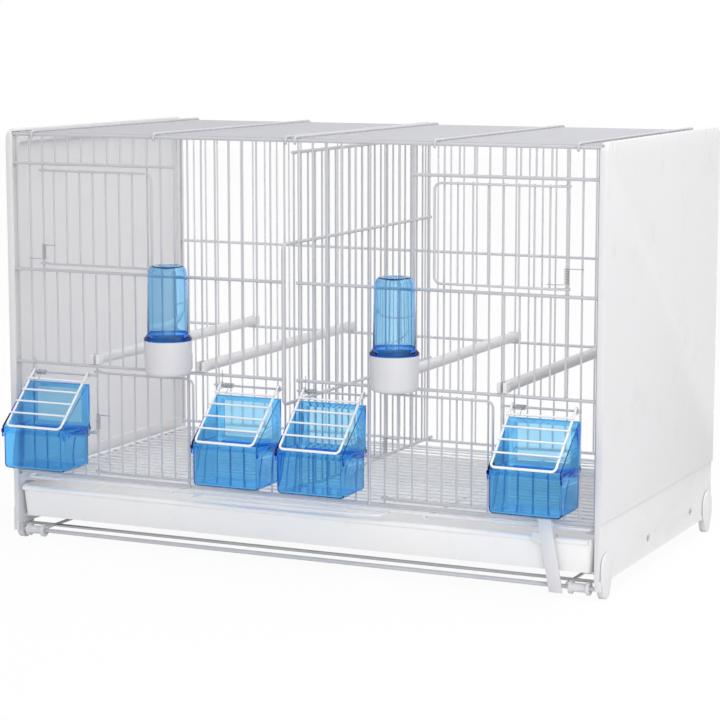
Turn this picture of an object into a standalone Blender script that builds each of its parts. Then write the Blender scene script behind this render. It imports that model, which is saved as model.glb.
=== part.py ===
"""Bird breeding cage: two white plastic side panels that carry welded wire grilles, with a
sliding wire floor and tray, a slide-out wire divider, four sprung doors, four outside
feeders under sprung wire flaps, two tube drinkers and four perches.

Cage frame: X runs left to right along the front, Y from the front edge to the back, Z up
from the surface under the feet. Everything hangs on one empty, which centres the footprint.
"""
import math

import bmesh
import bpy
from mathutils import Matrix, Vector

X_AXIS = Vector((1, 0, 0))
Y_AXIS = Vector((0, 1, 0))
Z_AXIS = Vector((0, 0, 1))

# Clearances
seat_gap = 0.0003
cut_overrun = 0.002
hinge_play = 0.00035

# Whole cage
cage_width = 0.580
cage_depth = 0.320
foot_height = 0.015

# Wire stock, as corner radii of the faceted sections
frame_wire = 0.0015
mesh_wire = 0.0009
door_wire = 0.0011
rod_wire = 0.0010
base_wire = 0.0020
spring_wire = 0.00035
weld_depth = 0.00035
wire_tail = 0.0013
frame_sides = 6
mesh_sides = 4
bend_steps = 3
wire_shading = 65
moulding_shading = 30

# Side panels
panel_rim = 0.006
panel_wall = 0.0025
panel_border = 0.012
panel_step = 0.0015
panel_corner = 0.010
pocket_corner = 0.006
corner_steps = 4
groove_depth = 0.0025
groove_play = 0.0013
ledge_reach = 0.012
ledge_thickness = 0.0025
panel_slot_length = 0.010
panel_slot_height = 0.003
panel_slot_shares = (0.41, 0.80)
panel_slot_rise = 0.012

# Heights, built up from the panels' bottom edge
tray_lift = 0.0085
tray_height = 0.029
floor_rise = 0.0065
low_rail_rise = 0.006
feeder_rail_rise = 0.042
flap_rod_rise = 0.053
door_rail_rise = 0.009
mid_rail_rise = 0.086
upper_rail_rise = 0.0975
top_rail_rise = 0.026
panel_top_rise = 0.0045

panel_bottom = foot_height
panel_step_z = panel_bottom + tray_lift + tray_height + floor_rise + low_rail_rise + frame_wire
tray_bottom = panel_bottom + tray_lift
tray_top = tray_bottom + tray_height
floor_z = tray_top + floor_rise
low_rail_z = floor_z + low_rail_rise
feeder_rail_z = low_rail_z + feeder_rail_rise
flap_rod_z = feeder_rail_z + flap_rod_rise
door_rail_z = flap_rod_z + door_rail_rise
mid_rail_z = door_rail_z + mid_rail_rise
upper_rail_z = mid_rail_z + upper_rail_rise
top_rail_z = upper_rail_z + top_rail_rise
panel_top = top_rail_z + panel_top_rise

# Front and back wires, numbered from 0 at the left
wire_count = 42
edge_gap = 0.0021
grille_setback = 0.006
inner_x = cage_width / 2 - panel_rim
wire_pitch = 2 * (inner_x - edge_gap) / (wire_count - 1)
front_mesh_y = grille_setback
front_rail_y = front_mesh_y - (frame_wire + mesh_wire - weld_depth)
flap_rod_y = front_mesh_y - (rod_wire + mesh_wire - weld_depth)
back_mesh_y = cage_depth - grille_setback
back_rail_y = back_mesh_y + (frame_wire + mesh_wire - weld_depth)
rail_end_x = inner_x + groove_depth - seat_gap
frame_corner = 0.003

slot_left, slot_right = 20, 21
rail_end_after_door = 2
upper_doors = ((2, 10, 1), (39, 31, -1))
lower_doors = ((6, 13, 1), (27, 34, 1))
feeder_windows = ((1, 6), (15, 20), (21, 26), (35, 40))
feeder_rails = ((None, 6), (14, 20), (21, 27), (35, None))
middle_frame_left, middle_frame_right = 13, 26
perch_wires = (6, 14, 27, 35)
drinker_wires = (12, 28)

# Roof and floor
roof_wire_count = 22
roof_edge_gap = 0.015
roof_cross_places = (1.3, 10.6, 30.4, 39.7)
divider_guide = 0.0045
roof_cross_wire = 0.00125
floor_wire_count = 20
floor_side_gap = 0.005
floor_front_y = 0.009
floor_cross_shares = (-0.45, 0.45)
floor_corner = 0.006
handle_half = 0.093
handle_reach = 0.013

# Tray
tray_side_gap = 0.002
tray_front_y = 0.0005
tray_back_gap = 0.020
tray_wall = 0.002
tray_draft = 0.003
tray_corner = 0.008

# Tray clip
clip_width = 0.012
clip_thickness = 0.002
clip_share = 0.86
clip_side_lean = 0.13
clip_top_rise = 0.0165
clip_foot_z = 0.005
clip_top_reach = 0.009
clip_foot_reach = 0.0013
clip_hook = 0.0015
clip_hook_drop = 0.005
clip_hook_play = 0.001

# Divider
divider_front_y = 0.0105
divider_back_gap = 0.015
divider_wire_count = 22
divider_top_drop = 0.0105
divider_handle_reach = 0.015
divider_handle_low = 0.150
divider_handle_high = 0.290
divider_tail = 0.002
divider_corner = 0.006

# Doors
door_stand_off = 0.005
door_free_share = 0.5
door_low_free_share = 0.46
door_edge_gap = 0.0062
door_low_edge_gap = 0.0055
door_corner = 0.006
joggle_start = 0.006
joggle_end = 0.011
eye_start, eye_end = 30, 270
eye_steps = 4

# Feeders
feeder_side_gap = 0.0003
feeder_depth = 0.048
feeder_drop = 0.030
feeder_lip_rise = 0.007
feeder_hood_rise = 0.045
feeder_hood_front = 0.002
feeder_hood_top = 0.0037
feeder_wall = 0.0014
feeder_draft = 0.0005
feeder_lip = 0.0010
feeder_lip_height = 0.004
feeder_corner = 0.0022
feeder_strip = 0.009
feeder_header = 0.005
feeder_sill = 0.001
feeder_hook_inset = 0.006
feeder_hook_depth = 0.0016
feeder_hook_drop = 0.006
feeder_outset = 0.0042

# Flaps
flap_inset = 0.0047
flap_outset = 0.003
flap_corner = 0.004
flap_bar_shares = (0.17, 0.37, 0.575, 0.785)
flap_bar_overhang = 0.0012

# Drinkers
cup_radius = 0.0214
cup_foot_radius = 0.0196
cup_height = 0.033
cup_wall = 0.0016
cup_back_gap = 0.001
cup_drop = 0.001
cup_round = 0.004
spout_side_gap = 0.001
spout_height = 0.015
spout_reach = 0.010
spout_wall = 0.0014
tube_radius = 0.0184
tube_flange_radius = 0.0214
tube_flange_height = 0.002
tube_flare = 0.003
tube_height = 0.066
tube_wall = 0.0014
tube_neck_radius = 0.0172
tube_neck_depth = 0.0265
tube_shoulder = 0.010
tube_shoulder_radius = 0.0172
tube_crown_radius = 0.0138
tube_dimple = 0.003
turned_steps = 16

# Perches
perch_radius = 0.005
perch_steps = 10
fork_width = 0.009
fork_height = 0.009
fork_length = 0.012
fork_front = 0.0008
fork_slot_play = 0.0004
fork_slot_back = 0.002

# Base frame, rollers and feet
base_rod_y = 0.008
base_rod_z = 0.0093
base_second_y = 0.020
base_side_inset = 0.026
roller_radius = 0.006
roller_barrel = 0.004
roller_flange = 0.003
roller_length = 0.0185
roller_steps = 10
foot_width = 0.026
foot_setback = 0.002
foot_tongue_top = 0.040
foot_proud = 0.0008
foot_sole_share = 0.46
foot_taper_share = 0.45
foot_steps = 5

# Springs
coil_turns = 4
coil_steps = 8
door_coil_pitch = 0.0033
flap_coil_pitch = 0.0024
spring_leg_tail = 0.002
spring_leg_bend = 0.010
spring_rail_reach = 0.005
door_spring_rise = 0.0038
low_spring_rise = 0.004
flap_spring_offset = 0.0012
flap_spring_up = 0.005
flap_spring_share = 0.62

bpy.ops.object.select_all(action="DESELECT")
for old in list(bpy.data.objects):
    bpy.data.objects.remove(old, do_unlink=True)

cage = bpy.data.objects.new("cage_frame", None)
bpy.context.collection.objects.link(cage)


def plastic(name, colour, roughness, metallic=0, transmission=0):
    """A Principled material for one finish."""
    made = bpy.data.materials.new(name)
    made.use_nodes = True
    shader = made.node_tree.nodes["Principled BSDF"]
    shader.inputs["Base Color"].default_value = (*colour, 1)
    shader.inputs["Roughness"].default_value = roughness
    shader.inputs["Metallic"].default_value = metallic
    shader.inputs["Transmission Weight"].default_value = transmission
    return made


white_plastic = plastic("white_plastic", (0.78, 0.77, 0.77), 0.45)
white_enamel = plastic("white_enamel", (0.80, 0.80, 0.83), 0.35)
grey_enamel = plastic("grey_enamel", (0.42, 0.42, 0.42), 0.40)
tray_plastic = plastic("tray_plastic", (0.74, 0.73, 0.72), 0.50)
blue_plastic = plastic("blue_plastic", (0.04, 0.28, 0.80), 0.12, 0, 0.6)
cup_plastic = plastic("cup_plastic", (0.70, 0.70, 0.70), 0.40)
spring_steel = plastic("spring_steel", (0.62, 0.62, 0.64), 0.30, 1)


def wire_x(number):
    """Where a numbered front or back wire stands across the cage."""
    return (number - (wire_count - 1) / 2) * wire_pitch


def ring(point, across, up, radius, sides):
    """Corners of one wire section, the first one along `across`."""
    turn = 2 * math.pi / sides
    return [point + radius * (math.cos(turn * k) * across + math.sin(turn * k) * up)
            for k in range(sides)]


def sweep(bm, path, radius, sides, corner, closed=False):
    """Sweeps a wire section along a path, mitred at its bends, with a corner towards `corner`."""
    path = [Vector(p) for p in path]
    count = len(path)
    runs = [(path[(k + 1) % count] - path[k]).normalized() for k in range(count if closed else count - 1)]
    across = Vector(corner) - Vector(corner).dot(runs[0]) * runs[0]
    across.normalize()
    rings = []
    for k in range(count):
        before = runs[k - 1] if (closed or k > 0) else runs[0]
        after = runs[k % len(runs)] if (closed or k < count - 1) else runs[-1]
        if k > 0:
            across = runs[k - 2].rotation_difference(before) @ across if k > 1 else across
        up = before.cross(across) if k > 0 else after.cross(across)
        along = before if k > 0 else after
        mitre = (before + after).normalized()
        corners = []
        for p in ring(path[k], across, up, radius, sides):
            reach = (path[k] - p).dot(mitre) / along.dot(mitre)
            corners.append(bm.verts.new(p + reach * along))
        rings.append(corners)
    spans = count if closed else count - 1
    for k in range(spans):
        low, high = rings[k], rings[(k + 1) % count]
        for s in range(sides):
            t = (s + 1) % sides
            bm.faces.new((low[s], low[t], high[t], high[s]))
    if not closed:
        bm.faces.new(list(reversed(rings[0])))
        bm.faces.new(rings[-1])


def bar(bm, start, end, radius, sides, corner):
    """One straight length of wire."""
    sweep(bm, (start, end), radius, sides, corner)


def bend(centre, radius, first, last, right, up, steps):
    """Points on an arc, from angle `first` to `last` in degrees, in the plane of two axes."""
    points = []
    for k in range(steps + 1):
        angle = math.radians(first + (last - first) * k / steps)
        points.append(Vector(centre) + radius * (math.cos(angle) * right + math.sin(angle) * up))
    return points


def box(bm, low, high):
    """A rectangular block between two corners."""
    made = bmesh.ops.create_cube(bm, size=1)
    for vert in made["verts"]:
        vert.co = Vector([(low[k] + high[k]) / 2 + vert.co[k] * abs(high[k] - low[k]) for k in range(3)])


def prism(bm, outline, start, end):
    """An outline of 3-D points, pushed from `start` to `end`."""
    face = bm.faces.new([bm.verts.new(Vector(p) + Vector(start)) for p in outline])
    pushed = bmesh.ops.extrude_face_region(bm, geom=[face])
    moved = [g for g in pushed["geom"] if isinstance(g, bmesh.types.BMVert)]
    bmesh.ops.translate(bm, verts=moved, vec=Vector(end) - Vector(start))
    bmesh.ops.recalc_face_normals(bm, faces=bm.faces)


def turned(bm, profile, centre, steps):
    """A profile of (radius, height) turned about Z, closed at both ends on the axis or as a ring."""
    loops = []
    for radius, height in profile:
        if radius == 0:
            loops.append([bm.verts.new(Vector(centre) + Vector((0, 0, height)))])
            continue
        loops.append([bm.verts.new(Vector(centre) + Vector((radius * math.cos(2 * math.pi * k / steps),
                                                            radius * math.sin(2 * math.pi * k / steps),
                                                            height))) for k in range(steps)])
    spans = list(zip(loops, loops[1:]))
    if len(loops[0]) > 1:
        spans.append((loops[-1], loops[0]))
    for low, high in spans:
        for k in range(steps):
            n = (k + 1) % steps
            if len(low) == 1:
                bm.faces.new((low[0], high[n], high[k]))
            elif len(high) == 1:
                bm.faces.new((low[k], low[n], high[0]))
            else:
                bm.faces.new((low[k], low[n], high[n], high[k]))
    bmesh.ops.recalc_face_normals(bm, faces=bm.faces)


def loft(bm, loops):
    """Skins a stack of closed loops of equal count and caps both ends."""
    rows = [[bm.verts.new(p) for p in loop] for loop in loops]
    count = len(rows[0])
    for low, high in zip(rows, rows[1:]):
        for k in range(count):
            n = (k + 1) % count
            bm.faces.new((low[k], low[n], high[n], high[k]))
    bm.faces.new(list(reversed(rows[0])))
    bm.faces.new(rows[-1])
    bmesh.ops.recalc_face_normals(bm, faces=bm.faces)


def round_box_loop(low, high, corner, z, steps):
    """A rounded rectangle at height z, counter-clockwise from its right front corner."""
    points = []
    for cx, cy, first in ((high[0] - corner, low[1] + corner, -90), (high[0] - corner, high[1] - corner, 0),
                          (low[0] + corner, high[1] - corner, 90), (low[0] + corner, low[1] + corner, 180)):
        points += bend((cx, cy, z), corner, first, first + 90, X_AXIS, Y_AXIS, steps)
    return points


def solid(name, build, material, origin=(0, 0, 0)):
    """Makes an object in the cage frame from a function that fills a mesh, with its own origin."""
    bm = bmesh.new()
    build(bm)
    bmesh.ops.translate(bm, verts=bm.verts, vec=-Vector(origin))
    mesh = bpy.data.meshes.new(name)
    bm.to_mesh(mesh)
    bm.free()
    made = bpy.data.objects.new(name, mesh)
    made.data.materials.append(material)
    made.parent = cage
    made.location = origin
    bpy.context.collection.objects.link(made)
    return made


def combine(base, build, operation):
    """Joins a second mesh to an object, or cuts it away, and keeps one clean mesh."""
    tool = solid(base.name + "_tool", build, base.data.materials[0], base.location)
    step = base.modifiers.new("combine", "BOOLEAN")
    step.object = tool
    step.operation = operation
    step.solver = "EXACT"
    bpy.context.view_layer.update()
    result = bpy.data.meshes.new_from_object(base.evaluated_get(bpy.context.evaluated_depsgraph_get()))
    base.modifiers.clear()
    base.data = result
    base.data.name = base.name
    bpy.data.objects.remove(tool, do_unlink=True)


def weld(base, build):
    combine(base, build, "UNION")


def cut(base, build):
    combine(base, build, "DIFFERENCE")


def smooth(made, angle=moulding_shading):
    """Smooth shading with sharp edges kept."""
    made.data.shade_smooth()
    made.data.set_sharp_from_angle(angle=math.radians(angle))


def is_between(number, ends):
    return min(ends) < number < max(ends)


# Side panels: a moulded wall with a thicker border, grooves for the wires and two ledges
def panel_outline(x, low, high, front, back, radius):
    """The side view of a panel or its pocket, as points at one x."""
    points = []
    for cy, cz, first in ((back - radius, high - radius, 0), (front + radius, high - radius, 90)):
        points += bend((x, cy, cz), radius, first, first + 90, Y_AXIS, Z_AXIS, corner_steps)
    return points + [Vector((x, front, low)), Vector((x, back, low))]


def side_panel(name, side):
    outer, inner = side * cage_width / 2, side * inner_x
    inward = inner - side * cut_overrun

    def slab(bm):
        outline = panel_outline(inner, panel_bottom, panel_top, 0, cage_depth, panel_corner)
        prism(bm, outline, (0, 0, 0), (outer - inner, 0, 0))

    def pocket(bm):
        outline = panel_outline(inward, panel_step_z + panel_wall, panel_top - panel_border,
                                panel_border, cage_depth - panel_border, pocket_corner)
        prism(bm, outline, (0, 0, 0), (outer - side * panel_wall - inward, 0, 0))

    def lower_step(bm):
        box(bm, (outer - side * panel_step, -cut_overrun, panel_bottom - cut_overrun),
            (outer + side * cut_overrun, cage_depth + cut_overrun, panel_step_z))

    def grooves(bm):
        deep = side * (inner_x + groove_depth)
        low = low_rail_z - frame_wire - groove_play
        roof_wire_z = top_rail_z + frame_wire + groove_play
        half = frame_wire + seat_gap
        box(bm, (inward, front_rail_y - frame_wire - seat_gap, low), (deep, front_mesh_y + half, roof_wire_z))
        box(bm, (inward, back_mesh_y - half, low), (deep, back_rail_y + frame_wire + seat_gap, roof_wire_z))

    def roof_groove(bm):
        deep = side * (inner_x + groove_depth)
        box(bm, (inward, grille_setback, roof_mesh_z - mesh_wire - groove_play),
            (deep, cage_depth - grille_setback, roof_mesh_z + mesh_wire + seat_gap))

    def ledges(bm):
        foot = inner - side * ledge_reach
        embedded = inner + side * ledge_thickness / 2
        floor_top = floor_z - frame_wire - seat_gap
        tray_seat = tray_bottom - seat_gap
        for top in (floor_top, tray_seat):
            box(bm, (foot, panel_border, top - ledge_thickness), (embedded, cage_depth - panel_border, top))

    def slots(bm):
        for share in panel_slot_shares:
            middle = share * cage_depth
            box(bm, (inward, middle - panel_slot_length / 2, panel_bottom + panel_slot_rise),
                (outer + side * cut_overrun, middle + panel_slot_length / 2,
                 panel_bottom + panel_slot_rise + panel_slot_height))

    made = solid(name, slab, white_plastic)
    for shape in (pocket, lower_step, grooves, roof_groove, slots):
        cut(made, shape)
    weld(made, ledges)
    smooth(made)


# The roof's wires hang under its cross wires, which hook round the top rails
roof_hook = frame_wire + hinge_play + roof_cross_wire
roof_cross_z = top_rail_z + roof_hook
roof_mesh_z = roof_cross_z - (roof_cross_wire + mesh_wire - weld_depth)


# Front grille: vertical wires welded to rails, left out behind doors and feeders
def front_runs(number):
    """The heights between which a front wire runs."""
    cuts = []
    if any(is_between(number, ends) for ends in feeder_windows):
        cuts.append((feeder_rail_z, door_rail_z))
    if any(is_between(number, door[:2]) for door in lower_doors):
        cuts.append((low_rail_z, door_rail_z))
    if number == middle_frame_left or number == middle_frame_right:
        cuts.append((low_rail_z, door_rail_z))
    if any(is_between(number, door[:2]) for door in upper_doors):
        cuts.append((mid_rail_z, upper_rail_z))
    runs, start = [], low_rail_z
    for low, high in cuts:
        if low > start:
            runs.append((start, low + wire_tail))
        start = high - wire_tail
    return runs + [(start, top_rail_z)]


def front_wires(bm):
    for number in range(wire_count):
        for low, high in front_runs(number):
            bar(bm, (wire_x(number), front_mesh_y, low), (wire_x(number), front_mesh_y, high),
                mesh_wire, mesh_sides, Y_AXIS)


def rail(bm, left, right, y, z, radius=frame_wire, corner=Y_AXIS):
    bar(bm, (left, y, z), (right, y, z), radius, frame_sides, corner)


def end_rails(bm, y):
    """The top and bottom rails, in one plane with the wires that end in them."""
    for z in (low_rail_z, top_rail_z):
        rail(bm, -rail_end_x, rail_end_x, y, z, corner=Z_AXIS)


def slot_edge(number, side):
    """A rail's end just past a numbered wire."""
    return wire_x(number) + side * wire_tail


def front_rails(bm):
    rail(bm, -rail_end_x, slot_edge(slot_left, 1), front_rail_y, mid_rail_z)
    rail(bm, slot_edge(slot_right, -1), rail_end_x, front_rail_y, mid_rail_z)
    rail(bm, -rail_end_x, slot_edge(upper_doors[0][1] + rail_end_after_door, 1), front_rail_y, upper_rail_z)
    rail(bm, slot_edge(upper_doors[1][1] - rail_end_after_door, -1), rail_end_x, front_rail_y, upper_rail_z)
    for corner, end, side in ((middle_frame_left, slot_left, 1), (middle_frame_right, slot_right, -1)):
        x = wire_x(corner)
        centre = (x + side * frame_corner, front_rail_y, door_rail_z - frame_corner)
        path = [Vector((x, front_rail_y, low_rail_z - frame_wire))]
        path += bend(centre, frame_corner, 180, 90, side * X_AXIS, Z_AXIS, bend_steps)
        path.append(Vector((slot_edge(end, side), front_rail_y, door_rail_z)))
        sweep(bm, path, frame_wire, frame_sides, Y_AXIS)


def front_low_rails(bm):
    rail(bm, -rail_end_x, wire_x(middle_frame_left) + seat_gap, front_rail_y, door_rail_z)
    rail(bm, slot_edge(middle_frame_right + 1, -1), rail_end_x, front_rail_y, door_rail_z)
    for left, right in feeder_rails:
        start = -rail_end_x if left is None else slot_edge(left, -1)
        end = rail_end_x if right is None else slot_edge(right, 1)
        rail(bm, start, end, front_rail_y, feeder_rail_z)
    for left, right in feeder_windows:
        rail(bm, slot_edge(left, -1), slot_edge(right, 1), flap_rod_y, flap_rod_z, rod_wire)


def front_grille():
    made = solid("front_grille", front_wires, white_enamel)
    weld(made, lambda bm: end_rails(bm, front_mesh_y))
    weld(made, front_rails)
    weld(made, front_low_rails)
    smooth(made, wire_shading)


# Back grille: every wire runs full height
def back_grille():
    def wires(bm):
        for number in range(wire_count):
            bar(bm, (wire_x(number), back_mesh_y, low_rail_z), (wire_x(number), back_mesh_y, top_rail_z),
                mesh_wire, mesh_sides, Y_AXIS)

    def rails(bm):
        for z in (door_rail_z, mid_rail_z):
            rail(bm, -rail_end_x, rail_end_x, back_rail_y, z)

    made = solid("back_grille", wires, white_enamel)
    weld(made, lambda bm: end_rails(bm, back_mesh_y))
    weld(made, rails)
    smooth(made, wire_shading)


def roof_grille():
    def wires(bm):
        first, last = roof_edge_gap, cage_depth - roof_edge_gap
        for number in range(roof_wire_count):
            y = first + (last - first) * number / (roof_wire_count - 1)
            bar(bm, (-rail_end_x, y, roof_mesh_z), (rail_end_x, y, roof_mesh_z),
                mesh_wire, mesh_sides, Z_AXIS)

    def cross_wires(bm):
        places = [wire_x(place) for place in roof_cross_places] + [-divider_guide, divider_guide]
        for x in places:
            front = bend((x, front_mesh_y, top_rail_z), roof_hook, -60, 90, -Y_AXIS, Z_AXIS, bend_steps)
            back = bend((x, back_mesh_y, top_rail_z), roof_hook, 90, -60, Y_AXIS, Z_AXIS, bend_steps)
            sweep(bm, front + back, roof_cross_wire, frame_sides, Z_AXIS)

    made = solid("roof_grille", wires, white_enamel)
    weld(made, cross_wires)
    smooth(made, wire_shading)


def floor_grille():
    side_x = inner_x - floor_side_gap
    back_y = cage_depth - panel_border

    def border(bm):
        loop = round_box_loop((-side_x, floor_front_y), (side_x, back_y), floor_corner, floor_z, bend_steps)
        sweep(bm, loop, frame_wire, frame_sides, Y_AXIS, closed=True)

    def wires(bm):
        spacing = (back_y - floor_front_y) / (floor_wire_count + 1)
        for number in range(1, floor_wire_count + 1):
            y = floor_front_y + spacing * number
            bar(bm, (-side_x, y, floor_z), (side_x, y, floor_z), mesh_wire, mesh_sides, Z_AXIS)

    def cross_wires(bm):
        z = floor_z - (frame_wire + mesh_wire - weld_depth)
        for share in floor_cross_shares:
            bar(bm, (share * side_x, floor_front_y - wire_tail, z), (share * side_x, back_y + wire_tail, z),
                frame_wire, frame_sides, Z_AXIS)

    def handle(bm):
        y = -handle_reach
        path = [Vector((-handle_half, floor_front_y, floor_z))]
        for side, first, last in ((-1, 180, 270), (1, 270, 360)):
            centre = (side * (handle_half - floor_corner), y + floor_corner, floor_z)
            path += bend(centre, floor_corner, first, last, X_AXIS, Y_AXIS, bend_steps)
        path.append(Vector((handle_half, floor_front_y, floor_z)))
        sweep(bm, path, door_wire, frame_sides, Z_AXIS)

    made = solid("floor_grille", border, white_enamel)
    for shape in (wires, cross_wires, handle):
        weld(made, shape)
    smooth(made, wire_shading)


# Tray: a drafted open box
tray_x = inner_x - tray_side_gap


def tray():
    def shell(bm):
        low, high = (-tray_x, tray_front_y), (tray_x, cage_depth - tray_back_gap)
        rows = []
        for inset, z in ((tray_draft, tray_bottom), (0, tray_top), (tray_wall, tray_top),
                         (tray_wall + tray_draft, tray_bottom + tray_wall)):
            rows.append(round_box_loop((low[0] + inset, low[1] + inset), (high[0] - inset, high[1] - inset),
                                       tray_corner - min(inset, tray_corner / 2), z, corner_steps))
        loft(bm, rows)

    made = solid("tray", shell, tray_plastic)
    smooth(made)


def tray_clip():
    """A strap that hooks over the tray's front rim and leans back and to the right going down."""
    top_z = tray_top + clip_top_rise
    rim_z = tray_top + seat_gap
    hook_y = tray_front_y + tray_wall + clip_hook_play
    lean = (clip_top_reach - clip_foot_reach) / (top_z - clip_foot_z)

    def strap(bm):
        def corner(y, z):
            return (clip_share * inner_x + clip_side_lean * (rim_z - z), y, z)

        def back(z):
            return corner(clip_thickness - clip_top_reach + (top_z - z) * lean, z)

        outline = [corner(-clip_top_reach, top_z), back(top_z), back(rim_z + clip_hook),
                   corner(hook_y + clip_hook, rim_z + clip_hook),
                   corner(hook_y + clip_hook, rim_z - clip_hook_drop),
                   corner(hook_y, rim_z - clip_hook_drop), corner(hook_y, rim_z), back(rim_z),
                   back(clip_foot_z), corner(-clip_foot_reach, clip_foot_z)]
        prism(bm, outline, (-clip_width / 2, 0, 0), (clip_width / 2, 0, 0))

    smooth(solid("tray_clip", strap, white_plastic))


# Divider: a wire grid between wires 20 and 21, with a handle loop that comes out in front
divider_low_z = low_rail_z + 2 * frame_wire + seat_gap
divider_high_z = top_rail_z - divider_top_drop


def divider():
    back_y = cage_depth - divider_back_gap

    def wires(bm):
        spacing = (back_y - divider_front_y) / (divider_wire_count - 1)
        for number in range(divider_wire_count):
            y = divider_front_y + spacing * number
            bar(bm, (0, y, divider_low_z), (0, y, divider_high_z), mesh_wire, mesh_sides, X_AXIS)

    def edges(bm):
        front = front_mesh_y - frame_wire - divider_tail
        back = back_mesh_y + frame_wire
        bar(bm, (0, front, divider_low_z), (0, back, divider_low_z), frame_wire, frame_sides, Z_AXIS)
        bar(bm, (0, divider_front_y - divider_tail, divider_high_z),
            (0, back_y + divider_tail, divider_high_z), frame_wire, frame_sides, Z_AXIS)

    def handle(bm):
        x = frame_wire + mesh_wire - weld_depth
        y = -divider_handle_reach
        path = [Vector((x, back_y + divider_tail, divider_handle_low))]
        for z, turn, first in ((divider_handle_low, 1, 270), (divider_handle_high, -1, 180)):
            centre = (x, y + divider_corner, z + turn * divider_corner)
            path += bend(centre, divider_corner, first, first - 90, Y_AXIS, Z_AXIS, bend_steps)
        path.append(Vector((x, back_y + divider_tail, divider_handle_high)))
        sweep(bm, path, frame_wire, frame_sides, X_AXIS)

    made = solid("divider", wires, white_enamel)
    weld(made, edges)
    weld(made, handle)
    smooth(made, wire_shading)


# Doors: a U of wire whose ends curl round a hinge wire, filled with mesh wires
eye_radius = mesh_wire + hinge_play + door_wire
door_frame_y = front_mesh_y - door_stand_off
door_mesh_y = door_frame_y + (door_wire + mesh_wire - weld_depth)


def door(name, hinge, bound, side, low, high, free_share):
    origin = Vector((wire_x(hinge), front_mesh_y, low))
    free_x = wire_x(bound) + side * free_share * wire_pitch
    along = side * X_AXIS

    def leg(z):
        """From the eye's open end to the straight part of one leg."""
        hinge_point = Vector((origin.x, front_mesh_y, z))
        points = bend(hinge_point, eye_radius, eye_start, eye_end, along, Y_AXIS, eye_steps)
        points.append(hinge_point - eye_radius * Y_AXIS + joggle_start * along)
        points.append(Vector((origin.x, door_frame_y, z)) + joggle_end * along)
        return points

    def frame(bm):
        path = leg(low)
        for z, turn, first in ((low, 1, -90), (high, -1, 0)):
            centre = (free_x - side * door_corner, door_frame_y, z + turn * door_corner)
            path += bend(centre, door_corner, first, first + 90, along, Z_AXIS, bend_steps)
        path += reversed(leg(high))
        sweep(bm, path, door_wire, frame_sides, Z_AXIS)

    def wires(bm):
        for number in range(min(hinge, bound) + 1, max(hinge, bound)):
            x = wire_x(number)
            bar(bm, (x, door_mesh_y, low - wire_tail), (x, door_mesh_y, high + wire_tail),
                mesh_wire, mesh_sides, Y_AXIS)

    made = solid(name, frame, white_enamel, origin)
    weld(made, wires)
    smooth(made, wire_shading)


# Feeders: a drafted bin under a sloped hood that is open to the cage, hooked over the feeder rail
feeder_width = (feeder_windows[0][1] - feeder_windows[0][0]) * wire_pitch - 2 * (mesh_wire + feeder_side_gap)
feeder_back_y = front_rail_y - frame_wire - seat_gap
feeder_front_y = feeder_back_y - feeder_depth
feeder_bottom = feeder_rail_z - feeder_drop
feeder_top = feeder_rail_z + feeder_lip_rise
hood_top = feeder_rail_z + feeder_hood_rise
hood_low = Vector((0, feeder_front_y + feeder_lip, feeder_top + feeder_hood_front))
hood_high = Vector((0, feeder_back_y - feeder_hood_top, hood_top))


def window_centre(index, outset):
    """Middle of a feeder or flap: the outer two hang nearer the panels, clear of the lower door."""
    left, right = feeder_windows[index]
    middle = (wire_x(left) + wire_x(right)) / 2
    if index in (0, len(feeder_windows) - 1):
        middle += math.copysign(outset, middle)
    return middle


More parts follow.
